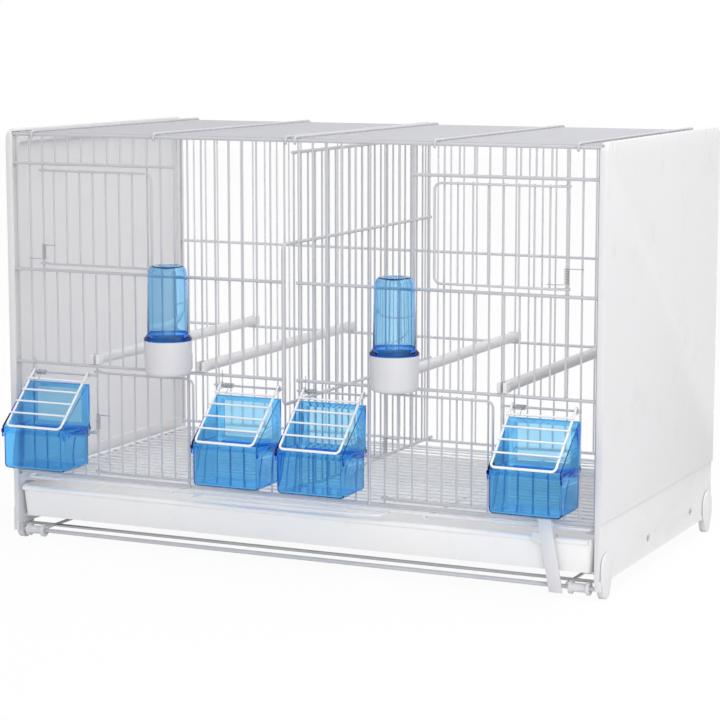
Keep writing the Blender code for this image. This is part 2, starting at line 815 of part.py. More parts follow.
def feeder(name, index):
    origin = Vector((window_centre(index, feeder_outset), feeder_back_y, feeder_rail_z))
    half = feeder_width / 2

    def bin_shell(bm):
        low, high = (origin.x - half, feeder_front_y), (origin.x + half, feeder_back_y)
        lip_low = feeder_top - feeder_lip_height
        foot = feeder_lip + feeder_draft
        rows = []
        for inset, z in ((foot, feeder_bottom), (feeder_lip, lip_low), (0, lip_low), (0, feeder_top),
                         (feeder_lip + feeder_wall, feeder_top),
                         (foot + feeder_wall, feeder_bottom + feeder_wall)):
            rows.append(round_box_loop((low[0] + inset, low[1] + inset),
                                       (high[0] - inset, high[1] - inset), feeder_corner, z, 1))
        loft(bm, rows)

    def side_outline(x, shrink):
        """The hood seen from the side, `shrink` smaller all round."""
        slope = (hood_high - hood_low).normalized()
        inwards = Vector((0, slope.z, -slope.y)) * shrink
        front, top, back = hood_low.y + shrink, hood_top - shrink, feeder_back_y - shrink
        low = hood_low + inwards + slope * ((front - hood_low.y - inwards.y) / slope.y)
        high = hood_high + inwards + slope * ((top - hood_high.z - inwards.z) / slope.z)
        sill = feeder_top - feeder_wall - 2 * shrink
        return [(x, front, sill), (x, back, sill), (x, back, top), (x, high.y, high.z), (x, low.y, low.z)]

    def hood(bm):
        reach = half - feeder_lip
        prism(bm, side_outline(origin.x - reach, 0), (0, 0, 0), (2 * reach, 0, 0))

    def hollow(bm):
        reach = half - feeder_lip - feeder_wall
        prism(bm, side_outline(origin.x - reach, feeder_wall), (0, 0, 0), (2 * reach, 0, 0))

    def window(bm):
        reach = half - feeder_strip
        box(bm, (origin.x - reach, feeder_back_y - 2 * feeder_wall, feeder_top + feeder_sill),
            (origin.x + reach, feeder_back_y + cut_overrun, hood_top - feeder_header))

    def hook(bm):
        reach = half - feeder_hook_inset
        over = feeder_rail_z + frame_wire + seat_gap
        back = front_mesh_y + mesh_wire + seat_gap
        root, left = feeder_back_y - feeder_wall / 2, origin.x - reach
        outline = [(left, root, over), (left, back, over), (left, back, over - feeder_hook_drop),
                   (left, back + feeder_hook_depth, over - feeder_hook_drop),
                   (left, back + feeder_hook_depth, over + feeder_hook_depth),
                   (left, root, over + feeder_hook_depth)]
        prism(bm, outline, (0, 0, 0), (2 * reach, 0, 0))

    made = solid(name, bin_shell, blue_plastic, origin)
    weld(made, hood)
    cut(made, hollow)
    cut(made, window)
    weld(made, hook)
    smooth(made)


# Flaps: a sprung wire frame that hangs from a rod and lies on the feeder's hood
flap_eye = rod_wire + hinge_play + door_wire
hood_slope = (hood_low - hood_high).normalized()
hood_normal = Vector((0, hood_slope.z, -hood_slope.y))
flap_rod = Vector((0, flap_rod_y, flap_rod_z))
flap_foot = hood_low + hood_normal * (door_wire + hinge_play)
flap_span = flap_foot - flap_rod
flap_angle = math.atan2(-flap_span.z, -flap_span.y) + math.asin(flap_eye / flap_span.length)
flap_along = Vector((0, -math.cos(flap_angle), -math.sin(flap_angle)))
flap_out = Vector((0, -math.sin(flap_angle), math.cos(flap_angle)))
flap_length = math.sqrt(flap_span.length ** 2 - flap_eye ** 2)
flap_half = feeder_width / 2 - flap_inset
flap_bar_out = flap_eye + door_wire + mesh_wire - weld_depth


def flap(name, index):
    origin = flap_rod + window_centre(index, flap_outset) * X_AXIS

    def leg(side):
        """The eye round the rod, from its open end to where the leg leaves it."""
        centre = origin + side * flap_half * X_AXIS
        return bend(centre, flap_eye, eye_start, eye_end, flap_along, -flap_out, eye_steps)

    def frame(bm):
        path = leg(-1)
        foot = origin + flap_eye * flap_out + flap_length * flap_along
        for side, first in ((-1, 180), (1, 270)):
            centre = foot + side * (flap_half - flap_corner) * X_AXIS - flap_corner * flap_along
            path += bend(centre, flap_corner, first, first + 90, X_AXIS, -flap_along, bend_steps)
        path += reversed(leg(1))
        sweep(bm, path, door_wire, frame_sides, X_AXIS)

    def bars(bm):
        for share in flap_bar_shares:
            at = origin + share * flap_length * flap_along + flap_bar_out * flap_out
            reach = (flap_half + flap_bar_overhang) * X_AXIS
            bar(bm, at - reach, at + reach, mesh_wire, mesh_sides, flap_out)

    made = solid(name, frame, white_enamel, origin)
    weld(made, bars)
    smooth(made, wire_shading)


# Drinkers: a white cup whose spout reaches between two wires, with a blue tube upside down in it
cup_bottom = door_rail_z - cup_drop
cup_top = cup_bottom + cup_height
cup_y = front_rail_y - frame_wire - cup_back_gap - cup_radius
spout_bottom = door_rail_z + frame_wire + seat_gap
spout_width = wire_pitch - 2 * (mesh_wire + spout_side_gap)
spout_end = front_mesh_y + spout_reach


def drinker(side, wire):
    x = (wire_x(wire) + wire_x(wire + 1)) / 2
    centre = Vector((x, cup_y, 0))

    def cup(bm):
        inside, floor = cup_foot_radius - cup_wall, cup_bottom + cup_wall
        profile = [(0, cup_bottom), (cup_foot_radius - cup_round, cup_bottom),
                   (cup_foot_radius, cup_bottom + cup_round), (cup_radius, cup_top),
                   (cup_radius - cup_wall, cup_top), (inside, floor + cup_round),
                   (inside - cup_round, floor), (0, floor)]
        turned(bm, profile, centre, turned_steps)

    def spout(bm):
        box(bm, (x - spout_width / 2, cup_y + cup_foot_radius - cup_wall, spout_bottom),
            (x + spout_width / 2, spout_end, spout_bottom + spout_height))

    def spout_channel(bm):
        reach = spout_width / 2 - spout_wall
        box(bm, (x - reach, cup_y + cup_foot_radius - cup_round, spout_bottom + spout_wall),
            (x + reach, spout_end - spout_wall, spout_bottom + spout_height + cut_overrun))

    made = solid("drinker_cup_" + side, cup, cup_plastic, (x, cup_y, cup_bottom))
    weld(made, spout)
    cut(made, spout_channel)
    smooth(made)

    def tube(bm):
        seat = cup_top + seat_gap
        top = seat + tube_height
        flange_top = seat + tube_flange_height
        low = cup_top - tube_neck_depth
        profile = [(0, top - tube_dimple), (tube_crown_radius, top),
                   (tube_shoulder_radius, top - tube_dimple),
                   (tube_radius, top - tube_shoulder), (tube_radius, flange_top + tube_flare),
                   (tube_flange_radius, flange_top), (tube_flange_radius, seat), (tube_neck_radius, seat),
                   (tube_neck_radius, low), (tube_neck_radius - tube_wall, low),
                   (tube_neck_radius - tube_wall, flange_top),
                   (tube_radius - tube_wall, flange_top + tube_flare),
                   (tube_radius - tube_wall, top - tube_shoulder),
                   (tube_shoulder_radius - tube_wall, top - tube_dimple - tube_wall),
                   (tube_crown_radius, top - tube_wall), (0, top - tube_dimple - tube_wall)]
        turned(bm, profile, centre, turned_steps)

    smooth(solid("drinker_tube_" + side, tube, blue_plastic, (x, cup_y, cup_top)))


# Perches: a round bar with a forked end that grips one wire and sits on the door rail
def perch(name, wire):
    x = wire_x(wire)
    low = door_rail_z + frame_wire + seat_gap
    z = low + fork_height / 2

    def rod(bm):
        start, end = fork_front + fork_length / 2, cage_depth - fork_front - fork_length / 2
        sweep(bm, ((x, start, z), (x, end, z)), perch_radius, perch_steps, X_AXIS)

    def forks(bm):
        for start, end in ((fork_front, fork_front + fork_length),
                           (cage_depth - fork_front - fork_length, cage_depth - fork_front)):
            box(bm, (x - fork_width / 2, start, low), (x + fork_width / 2, end, low + fork_height))

    def wire_slots(bm):
        half = mesh_wire + fork_slot_play
        box(bm, (x - half, fork_front - cut_overrun, low - cut_overrun),
            (x + half, front_mesh_y + fork_slot_back, low + fork_height + cut_overrun))
        box(bm, (x - half, back_mesh_y - fork_slot_back, low - cut_overrun),
            (x + half, cage_depth - fork_front + cut_overrun, low + fork_height + cut_overrun))

    made = solid(name, forks, white_plastic, (x, cage_depth / 2, z))
    weld(made, rod)
    cut(made, wire_slots)
    smooth(made)


# Base frame: rods between the feet, with a roller at each end of the front one
base_side_x = inner_x - base_side_inset
base_leg_z = base_rod_z + base_wire + frame_wire - weld_depth


def base_frame():
    end = inner_x - seat_gap
    back_y = cage_depth - base_rod_y

    def rods(bm):
        for y in (base_rod_y, back_y):
            bar(bm, (-end, y, base_rod_z), (end, y, base_rod_z), base_wire, frame_sides, Z_AXIS)

    def legs(bm):
        for x in (-base_side_x, base_side_x):
            bar(bm, (x, base_rod_y - base_wire, base_leg_z), (x, back_y + base_wire, base_leg_z),
                frame_wire, frame_sides, Z_AXIS)

    def second_rod(bm):
        z = base_leg_z + weld_depth
        bar(bm, (-end, base_second_y, z), (end, base_second_y, z), frame_wire, frame_sides, Y_AXIS)

    made = solid("base_frame", rods, grey_enamel)
    weld(made, legs)
    weld(made, second_rod)
    smooth(made, wire_shading)


def roller(name, side):
    inner = base_side_x + frame_wire + hinge_play
    bore = base_wire + hinge_play

    def spool(bm):
        far = roller_length - roller_flange
        profile = [(bore, 0), (roller_radius, 0), (roller_radius, roller_flange),
                   (roller_barrel, roller_flange), (roller_barrel, far), (roller_radius, far),
                   (roller_radius, roller_length), (bore, roller_length)]
        turned(bm, profile, (0, 0, 0), roller_steps)
        turn = Matrix.Rotation(side * math.radians(90), 4, "Y")
        bmesh.ops.transform(bm, matrix=turn, verts=bm.verts)
        bmesh.ops.translate(bm, verts=bm.verts, vec=(side * inner, base_rod_y, base_rod_z))

    smooth(solid(name, spool, white_plastic, (side * inner, base_rod_y, base_rod_z)))


def foot(name, side, front):
    """A flat-soled tongue that clasps a panel's lower corner."""
    half = foot_width / 2
    y = foot_setback + half if front else cage_depth - foot_setback - half
    outer = cage_width / 2 + foot_proud
    taper_z = foot_taper_share * foot_height

    def tongue(bm):
        x = side * inner_x
        sole = foot_sole_share * half
        points = [(x, y - sole, 0), (x, y + sole, 0), (x, y + half, taper_z)]
        points += bend((x, y, foot_tongue_top - half), half, 0, 180, Y_AXIS, Z_AXIS, foot_steps)
        points.append((x, y - half, taper_z))
        prism(bm, points, (0, 0, 0), (side * (outer - inner_x), 0, 0))

    def panel_seat(bm):
        box(bm, (side * (inner_x - cut_overrun), y - foot_width, foot_height - seat_gap),
            (side * (cage_width / 2 - panel_step + seat_gap), y + foot_width, foot_tongue_top + cut_overrun))

    made = solid(name, tongue, white_plastic)
    cut(made, panel_seat)
    smooth(made)


# Springs: one unbroken tube each, a close coil with a straight leg at both ends
def spring(name, points):
    curve = bpy.data.curves.new(name, "CURVE")
    curve.dimensions = "3D"
    curve.bevel_depth = spring_wire
    curve.bevel_resolution = 1
    curve.use_fill_caps = True
    line = curve.splines.new("POLY")
    line.points.add(len(points) - 1)
    for k, p in enumerate(points):
        line.points[k].co = (*p, 1)
    made = bpy.data.objects.new(name, curve)
    made.data.materials.append(spring_steel)
    made.parent = cage
    bpy.context.collection.objects.link(made)
    far = [(a - b).length for i, a in enumerate(points) for b in points[i + coil_steps - 1:]]
    print(name, "least gap to itself", round(min(far) - 2 * spring_wire, 5))


def coil(centre, axis, right, up, radius, pitch, first, last):
    """Points of a helix about an axis, turning from `right` towards `up`."""
    steps = round(abs(last - first) / 360 * coil_steps)
    points = []
    for k in range(steps + 1):
        angle = math.radians(first + (last - first) * k / steps)
        rise = pitch * abs(last - first) / 360 * k / steps
        points.append(centre + rise * axis + radius * (math.cos(angle) * right + math.sin(angle) * up))
    return points


def door_spring(name, hinge, side, low, rises, on_rail):
    """Coiled on a hinge wire: one leg lies on the grille, the other on the door."""
    radius = mesh_wire + hinge_play + spring_wire + hinge_play
    axis = Z_AXIS if rises else -Z_AXIS
    start_z = low if rises else low + coil_turns * door_coil_pitch
    centre = Vector((wire_x(hinge), front_mesh_y, start_z))
    along = side * X_AXIS
    turns = coil(centre, axis, along, Y_AXIS, radius, door_coil_pitch, -90, -90 + 360 * coil_turns)
    clear = seat_gap + spring_wire
    if on_rail:
        fixed_end = Vector((centre.x, front_rail_y - frame_wire - clear, feeder_rail_z))
        fixed_end -= spring_rail_reach * along
    else:
        fixed_end = Vector((centre.x, front_mesh_y - mesh_wire - clear, start_z))
        fixed_end -= (wire_pitch + spring_leg_tail) * along
    pressed = Vector((centre.x, door_mesh_y - mesh_wire - clear, turns[-1].z))
    spring(name, [fixed_end] + turns + [pressed + spring_leg_bend * along,
                                        pressed + (wire_pitch + spring_leg_tail) * along])


def flap_spring(name, index):
    radius = rod_wire + hinge_play + spring_wire + hinge_play
    start_x = window_centre(index, flap_outset) - flap_half + door_wire + flap_spring_offset
    centre = Vector((start_x, flap_rod_y, flap_rod_z))
    swing = 90 - math.degrees(flap_angle)
    turns = coil(centre, X_AXIS, Y_AXIS, Z_AXIS, radius, flap_coil_pitch, 180, 180 + 360 * coil_turns - swing)
    rail_y = front_rail_y - frame_wire - seat_gap - spring_wire
    tip = Vector((start_x, rail_y, door_rail_z + flap_spring_up))
    low = Vector((start_x, rail_y, door_rail_z - frame_wire))
    end_x = turns[-1].x
    over = flap_bar_out + mesh_wire + seat_gap + spring_wire
    reach = flap_bar_shares[0] * flap_length
    base = Vector((end_x, flap_rod_y, flap_rod_z)) + over * flap_out
    spring(name, [tip, low] + turns + [base + flap_spring_share * reach * flap_along,
                                       base + (reach + spring_leg_tail) * flap_along])


side_panel("left_side_panel", -1)
side_panel("right_side_panel", 1)
front_grille()
back_grille()
roof_grille()
floor_grille()
tray()
tray_clip()
divider()

upper_low = mid_rail_z + door_edge_gap
upper_high = upper_rail_z - door_edge_gap
lower_low = low_rail_z + door_edge_gap
lower_high = door_rail_z - door_low_edge_gap
for name, place in zip(("upper_left", "upper_right"), upper_doors):
    door(name + "_door", *place, upper_low, upper_high, door_free_share)
    door_spring(name + "_door_spring", place[0], place[2], upper_low + door_spring_rise, place[2] > 0, False)
for name, place in zip(("lower_left", "lower_right"), lower_doors):
    door(name + "_door", *place, lower_low, lower_high, door_low_free_share)
    door_spring(name + "_door_spring", place[0], place[2], feeder_rail_z + low_spring_rise, True, True)

for index in range(len(feeder_windows)):
    number = str(index + 1)
    feeder("feeder_" + number, index)
    flap("feeder_flap_" + number, index)
    flap_spring("flap_spring_" + number, index)

for side_name, wire in zip(("left", "right"), drinker_wires):
    drinker(side_name, wire)
for index, wire in enumerate(perch_wires):
    perch("perch_" + str(index + 1), wire)

base_frame()
for side_name, side in (("left", -1), ("right", 1)):
    roller(side_name + "_roller", side)
    foot("foot_front_" + side_name, side, True)
    foot("foot_rear_" + side_name, side, False)

# The frame's origin sits under the middle of the whole footprint, flaps and feeders included
bpy.context.view_layer.update()
reach = [(made.matrix_world @ Vector(corner)).y for made in cage.children for corner in made.bound_box]
cage.location.y = -(min(reach) + max(reach)) / 2
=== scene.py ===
import math

import bpy
from mathutils import Matrix, Vector


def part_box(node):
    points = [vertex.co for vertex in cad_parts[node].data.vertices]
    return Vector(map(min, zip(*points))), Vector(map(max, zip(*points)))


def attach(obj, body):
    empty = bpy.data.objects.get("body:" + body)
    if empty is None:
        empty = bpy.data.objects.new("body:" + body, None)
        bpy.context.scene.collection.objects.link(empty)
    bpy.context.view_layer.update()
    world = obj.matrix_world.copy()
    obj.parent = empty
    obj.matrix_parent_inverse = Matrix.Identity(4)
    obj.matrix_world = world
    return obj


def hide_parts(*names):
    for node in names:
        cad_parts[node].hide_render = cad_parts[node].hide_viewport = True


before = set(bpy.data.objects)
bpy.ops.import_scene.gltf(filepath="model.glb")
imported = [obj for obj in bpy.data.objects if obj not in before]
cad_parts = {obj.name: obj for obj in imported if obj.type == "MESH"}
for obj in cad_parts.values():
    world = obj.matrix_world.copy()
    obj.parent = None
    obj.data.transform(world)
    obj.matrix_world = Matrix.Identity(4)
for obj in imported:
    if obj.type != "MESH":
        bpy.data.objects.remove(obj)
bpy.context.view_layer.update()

X, Y, Z = Vector((1, 0, 0)), Vector((0, 1, 0)), Vector((0, 0, 1))

# Studio: the camera stands low on the right, as for the photograph. A pale floor and an even
# white sky give soft light, and both read as white behind the cage.
camera_place = (0.9164, -1.9474, 0.4800)
camera_tilt, camera_turn = 8.21, 25.09
bpy.ops.object.select_all(action="DESELECT")
bpy.ops.object.camera_add(location=camera_place, rotation=(math.radians(90 - camera_tilt), 0,
                                                           math.radians(camera_turn)))
camera = bpy.context.object
camera.data.sensor_width = 36
camera.data.lens = 117.1
camera.data.clip_end = 30
bpy.context.scene.camera = camera
bpy.context.scene.view_settings.view_transform = "Standard"

for name, place, size, power in (("overhead_lamp", (0.6, 0.1, 1.5), 1.2, 12),
                                 ("right_lamp", (2.2, -0.3, 1.1), 1.6, 1.2),
                                 ("front_lamp", (1.2, -1.9, 0.8), 1.8, 21)):
    aim = (Vector((0, 0, 0.2)) - Vector(place)).to_track_quat("-Z", "Y").to_euler()
    bpy.ops.object.light_add(type="AREA", location=place, rotation=aim)
    lamp = bpy.context.object
    lamp.name = name
    lamp.data.size = size
    lamp.data.energy = power

sky = bpy.data.worlds.new("white_sky")
bpy.context.scene.world = sky
sky.use_nodes = True
links, nodes = sky.node_tree.links, sky.node_tree.nodes
soft, bright = nodes["Background"], nodes.new("ShaderNodeBackground")
soft.inputs["Color"].default_value = (0.97, 0.98, 1, 1)
soft.inputs["Strength"].default_value = 0.68
bright.inputs["Color"].default_value = (1, 1, 1, 1)


def seen_directly(nodes, links):
    """1 where the camera, a reflection or a view through clear plastic meets the backdrop."""
    rays, either, also = (nodes.new("ShaderNodeLightPath"), nodes.new("ShaderNodeMath"),
                          nodes.new("ShaderNodeMath"))
    either.operation = also.operation = "MAXIMUM"
    links.new(rays.outputs["Is Camera Ray"], either.inputs[0])
    links.new(rays.outputs["Is Glossy Ray"], either.inputs[1])
    links.new(either.outputs[0], also.inputs[0])
    links.new(rays.outputs["Is Transmission Ray"], also.inputs[1])
    return also.outputs[0]


blend = nodes.new("ShaderNodeMixShader")
links.new(seen_directly(nodes, links), blend.inputs[0])
links.new(soft.outputs[0], blend.inputs[1])
links.new(bright.outputs[0], blend.inputs[2])
links.new(blend.outputs[0], nodes["World Output"].inputs["Surface"])

bpy.ops.mesh.primitive_plane_add(size=12)
floor = bpy.context.object
floor.name = "studio_floor"
floor_paint = bpy.data.materials.new("studio_floor")
floor_paint.use_nodes = True
links, nodes = floor_paint.node_tree.links, floor_paint.node_tree.nodes
shader = nodes["Principled BSDF"]
shader.inputs["Base Color"].default_value = (0.82, 0.82, 0.82, 1)
shader.inputs["Roughness"].default_value = 0.9
glow, share, blend = (nodes.new("ShaderNodeEmission"), nodes.new("ShaderNodeMath"),
                      nodes.new("ShaderNodeMixShader"))
share.operation = "MULTIPLY"
share.inputs[1].default_value = 0.95
links.new(seen_directly(nodes, links), share.inputs[0])
links.new(share.outputs[0], blend.inputs[0])
links.new(shader.outputs[0], blend.inputs[1])
links.new(glow.outputs[0], blend.inputs[2])
links.new(blend.outputs[0], nodes["Material Output"].inputs["Surface"])
floor.data.materials.append(floor_paint)


# Side panels: injection-moulded white plastic, 6 mm thick at the border and thinner in a pocket
# inside, with a fine matt grain. Their edges are softly rounded by the mould.
def new_effect(name, inputs, outputs):
    """An empty shader group with named number sockets, for an effect that several finishes use."""
    group = bpy.data.node_groups.new(name, "ShaderNodeTree")
    for label, value in inputs.items():
        group.interface.new_socket(label, in_out="INPUT", socket_type="NodeSocketFloat").default_value = value
    for label in outputs:
        group.interface.new_socket(label, in_out="OUTPUT", socket_type="NodeSocketFloat")
    return group, group.nodes.new("NodeGroupInput"), group.nodes.new("NodeGroupOutput")


def noise_in(group, scale_from, detail, roughness=0.5):
    """A noise on the object's own coordinates inside a group, its scale from a socket."""
    place, noise = group.nodes.new("ShaderNodeTexCoord"), group.nodes.new("ShaderNodeTexNoise")
    noise.inputs["Detail"].default_value = detail
    noise.inputs["Roughness"].default_value = roughness
    group.links.new(place.outputs["Object"], noise.inputs["Vector"])
    group.links.new(scale_from, noise.inputs["Scale"])
    return noise.outputs["Fac"]


surface, enter, leave = new_effect("surface_grain", {"Grain Scale": 900, "Cloud Scale": 6}, ("Grain", "Cloud"))
surface.links.new(noise_in(surface, enter.outputs["Grain Scale"], 2), leave.inputs["Grain"])
surface.links.new(noise_in(surface, enter.outputs["Cloud Scale"], 4, 0.6), leave.inputs["Cloud"])

scuffs, enter, leave = new_effect("handling_scuffs", {"Scale": 30, "Amount": 0.5}, ("Mask",))
base = noise_in(scuffs, enter.outputs["Scale"], 6, 0.7)
narrow = scuffs.nodes.new("ShaderNodeMapRange")
narrow.inputs["From Min"].default_value = 0.56
narrow.inputs["From Max"].default_value = 0.72
scale = scuffs.nodes.new("ShaderNodeMath")
scale.operation = "MULTIPLY"
scuffs.links.new(base, narrow.inputs["Value"])
scuffs.links.new(narrow.outputs["Result"], scale.inputs[0])
scuffs.links.new(enter.outputs["Amount"], scale.inputs[1])
scuffs.links.new(scale.outputs[0], leave.inputs["Mask"])


def finish(name, colour, cloud_colour, roughness, grain_scale, grain_depth, cloud_scale=6, scuffed=0.4):
    """A moulded or coated surface: clouded colour, a bumped grain and faint handling scuffs."""
    made = bpy.data.materials.new(name)
    made.use_nodes = True
    made.diffuse_color = (*colour, 1)
    nodes, links = made.node_tree.nodes, made.node_tree.links
    shader = nodes["Principled BSDF"]
    grain, marks = nodes.new("ShaderNodeGroup"), nodes.new("ShaderNodeGroup")
    grain.node_tree, marks.node_tree = surface, scuffs
    grain.inputs["Grain Scale"].default_value = grain_scale
    grain.inputs["Cloud Scale"].default_value = cloud_scale
    marks.inputs["Amount"].default_value = scuffed
    tint, shade = nodes.new("ShaderNodeMix"), nodes.new("ShaderNodeMix")
    for mix in (tint, shade):
        mix.data_type = "RGBA"
    tint.inputs[6].default_value = (*colour, 1)
    tint.inputs[7].default_value = (*cloud_colour, 1)
    shade.inputs[7].default_value = (*[0.86 * c for c in cloud_colour], 1)
    links.new(grain.outputs["Cloud"], tint.inputs[0])
    links.new(tint.outputs[2], shade.inputs[6])
    links.new(marks.outputs["Mask"], shade.inputs[0])
    links.new(shade.outputs[2], shader.inputs["Base Color"])
    rough = nodes.new("ShaderNodeMapRange")
    rough.inputs["To Min"].default_value = roughness - 0.07
    rough.inputs["To Max"].default_value = roughness + 0.07
    links.new(grain.outputs["Cloud"], rough.inputs["Value"])
    links.new(rough.outputs["Result"], shader.inputs["Roughness"])
    bump = nodes.new("ShaderNodeBump")
    bump.inputs["Distance"].default_value = grain_depth
    bump.inputs["Strength"].default_value = 0.6
    links.new(grain.outputs["Grain"], bump.inputs["Height"])
    links.new(bump.outputs["Normal"], shader.inputs["Normal"])
    return made


panel_plastic = finish("panel_plastic", (0.74, 0.725, 0.73), (0.71, 0.695, 0.70), 0.45, 1400, 0.00004)


def settle(piece, body, nodes, paint=None):
    """Gives a finished piece its paint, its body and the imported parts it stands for."""
    if paint is not None:
        piece.data.materials.clear()
        piece.data.materials.append(paint)
    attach(piece, body)
    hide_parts(*nodes)


def select_only(*pieces):
    bpy.ops.object.select_all(action="DESELECT")
    for piece in pieces:
        piece.select_set(True)
    bpy.context.view_layer.objects.active = pieces[0]


def shade(piece, angle=35):
    select_only(piece)
    bpy.ops.object.shade_smooth_by_angle(angle=math.radians(angle))


def joined(name, *pieces):
    select_only(*pieces)
    bpy.ops.object.join()
    piece = bpy.context.object
    piece.name = name
    shade(piece, 50)
    return piece


def softened(node, name, edge, segments=2):
    """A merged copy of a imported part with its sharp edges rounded."""
    piece = bpy.data.objects.new(name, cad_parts[node].data.copy())
    bpy.context.scene.collection.objects.link(piece)
    select_only(piece)
    bpy.ops.mesh.customdata_custom_splitnormals_clear()
    bpy.ops.object.mode_set(mode="EDIT")
    bpy.ops.mesh.select_all(action="SELECT")
    bpy.ops.mesh.remove_doubles(threshold=0.00002)
    bpy.ops.mesh.dissolve_limited(angle_limit=math.radians(0.6))
    bpy.ops.object.mode_set(mode="OBJECT")
    bevel = piece.modifiers.new("soft_edges", "BEVEL")
    bevel.width = edge
    bevel.segments = segments
    bevel.limit_method = "ANGLE"
    bevel.angle_limit = math.radians(35)
    bpy.ops.object.modifier_apply(modifier=bevel.name)
    shade(piece)
    return piece


def block(name, low, high, edge, segments=3):
    """A block between two corners with rounded edges."""
    low, high = Vector(low), Vector(high)
    bpy.ops.object.select_all(action="DESELECT")
    bpy.ops.mesh.primitive_cube_add(size=1, location=(low + high) / 2)
    piece = bpy.context.object
    piece.name = name
    piece.scale = high - low
    bpy.ops.object.transform_apply(location=True, rotation=True, scale=True)
    if edge:
        bevel = piece.modifiers.new("rounding", "BEVEL")
        bevel.width = edge
        bevel.segments = segments
        bpy.ops.object.modifier_apply(modifier=bevel.name)
    return piece


def combined(piece, tool, operation):
    """Adds or cuts a second shape and discards it."""
    step = piece.modifiers.new("combine", "BOOLEAN")
    step.object = tool
    step.operation = operation
    step.solver = "EXACT"
    select_only(piece)
    bpy.ops.object.modifier_apply(modifier=step.name)
    bpy.data.objects.remove(tool)
    return piece


def arc(centre, radius, first, last, right, up, steps=6):
    """Points on a bend, from one angle to another in degrees."""
    turns = [math.radians(first + (last - first) * k / steps) for k in range(steps + 1)]
    return [Vector(centre) + radius * (math.cos(t) * right + math.sin(t) * up) for t in turns]


def extruded(name, outline, left, right):
    """A solid whose side view is an outline of (y, z) points."""
    count = len(outline)
    mesh = bpy.data.meshes.new(name)
    mesh.from_pydata([(x, y, z) for x in (left, right) for y, z in outline], [],
                     [tuple(range(count - 1, -1, -1)), tuple(range(count, 2 * count))]
                     + [(k, (k + 1) % count, (k + 1) % count + count, k + count) for k in range(count)])
    piece = bpy.data.objects.new(name, mesh)
    bpy.context.scene.collection.objects.link(piece)
    select_only(piece)
    bpy.ops.object.mode_set(mode="EDIT")
    bpy.ops.mesh.select_all(action="SELECT")
    bpy.ops.mesh.normals_make_consistent(inside=False)
    bpy.ops.object.mode_set(mode="OBJECT")
    return piece


def side_block(name, sign, reach, depth, height, edge=0):
    """A block on one side, from its reach off the cage's middle, depth behind the front and height."""
    inner, outer = sorted(sign * x for x in reach)
    return block(name, (inner, front_y + depth[0], height[0]), (outer, front_y + depth[1], height[1]), edge)


front_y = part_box("left_side_panel")[0].y
for side, sign in (("left", -1), ("right", 1)):
    piece = softened(side + "_side_panel", side + "_panel_moulding", 0.0006)
    # Shallow grooves run down from the top edge to a round pip, and nicks cross the back edge
    marks = (0.0127, 0.026, 0.276, 0.299, 0.311)
    cutters = [side_block("groove", sign, (0.2894, 0.292), (y - 0.0008, y + 0.0008), (0.3715, 0.385), 0.0003)
               for y in marks]
    cutters += [side_block("nick", sign, (0.2882, 0.292), (0.3186, 0.322), (z - 0.002, z + 0.002), 0.0002)
                for z in (0.048, 0.114, 0.180, 0.246, 0.312)]
    # Two small vents low down, each a sunk field with three slits
    for y in (0.1312, 0.256):
        cutters.append(side_block("vent", sign, (0.2879, 0.290), (y - 0.0038, y + 0.0038), (0.0240, 0.0330), 0.0003))
        cutters += [side_block("slit", sign, (0.2862, 0.2882), (y - 0.0027, y + 0.0027), (z - 0.0006, z + 0.0006))
                    for z in (0.0260, 0.0285, 0.0310)]
    for cutter in cutters:
        piece = combined(piece, cutter, "DIFFERENCE")
    for y in marks:
        bpy.ops.object.select_all(action="DESELECT")
        bpy.ops.mesh.primitive_uv_sphere_add(segments=16, ring_count=8, radius=0.0013,
                                             location=(sign * 0.2893, front_y + y, 0.3706))
        pip = bpy.context.object
        bpy.ops.object.transform_apply(location=True, rotation=True, scale=True)
        piece = combined(piece, pip, "UNION")
    # The lower edge turns outward as a sloped rim, and the front corner reaches down beside the foot
    rim = side_block("sloped_rim", sign, (0.2880, 0.2897), (0.029, 0.291), (0.0151, 0.0225))
    for corner in rim.data.vertices:
        if corner.co.z > 0.02 and abs(corner.co.x) > 0.2890:
            corner.co.x = sign * 0.2884
    piece = combined(piece, rim, "UNION")
    piece = combined(piece, side_block("front_corner", sign, (0.2844, 0.2898), (0.0002, 0.0032), (0.0088, 0.0175),
                                       0.0005), "UNION")
    shade(piece)
    settle(piece, "cage", (side + "_side_panel",), panel_plastic)

# Front grille: round steel wires, spot-welded where they cross and dipped in a white coat.
# Uprights stop at the doors and feeder windows, and thicker rails run across in front of them.
wire_coat = finish("wire_coat", (0.55, 0.55, 0.575), (0.51, 0.51, 0.535), 0.36, 700, 0.00006, 40, 0.3)
# A lighter copy of the same white wire coat for the back grille: painted light, standing for the glow from behind on
# its wires.
painted_backlight_coat = finish("wire_coat_painted_backlight", (0.76, 0.76, 0.785), (0.72, 0.72, 0.745), 0.36, 700, 0.00006, 40, 0.3)
# The lightest copy of the same white wire coat, for the floor grille and the feeder flaps: painted light, standing for
# wires lit from above.
painted_toplight_coat = finish("wire_coat_painted_toplight", (0.86, 0.86, 0.88), (0.82, 0.82, 0.84), 0.34, 700, 0.00006, 40, 0.3)
pitch = 2 * (0.284 - 0.0021) / 41
upright_radius, rail_radius = 0.0009, 0.0015
mesh_y = front_y + 0.006
rail_y = mesh_y - (rail_radius + upright_radius - 0.00035)
low_z, feeder_z, rod_z, door_z, middle_z, upper_z, top_z = 0.065, 0.107, 0.160, 0.169, 0.255, 0.3525, 0.3785
rail_end = 0.2862
tail = 0.0013
windows = ((1, 6), (15, 20), (21, 26), (35, 40))


def wire_at(number):
    return (number - 20.5) * pitch


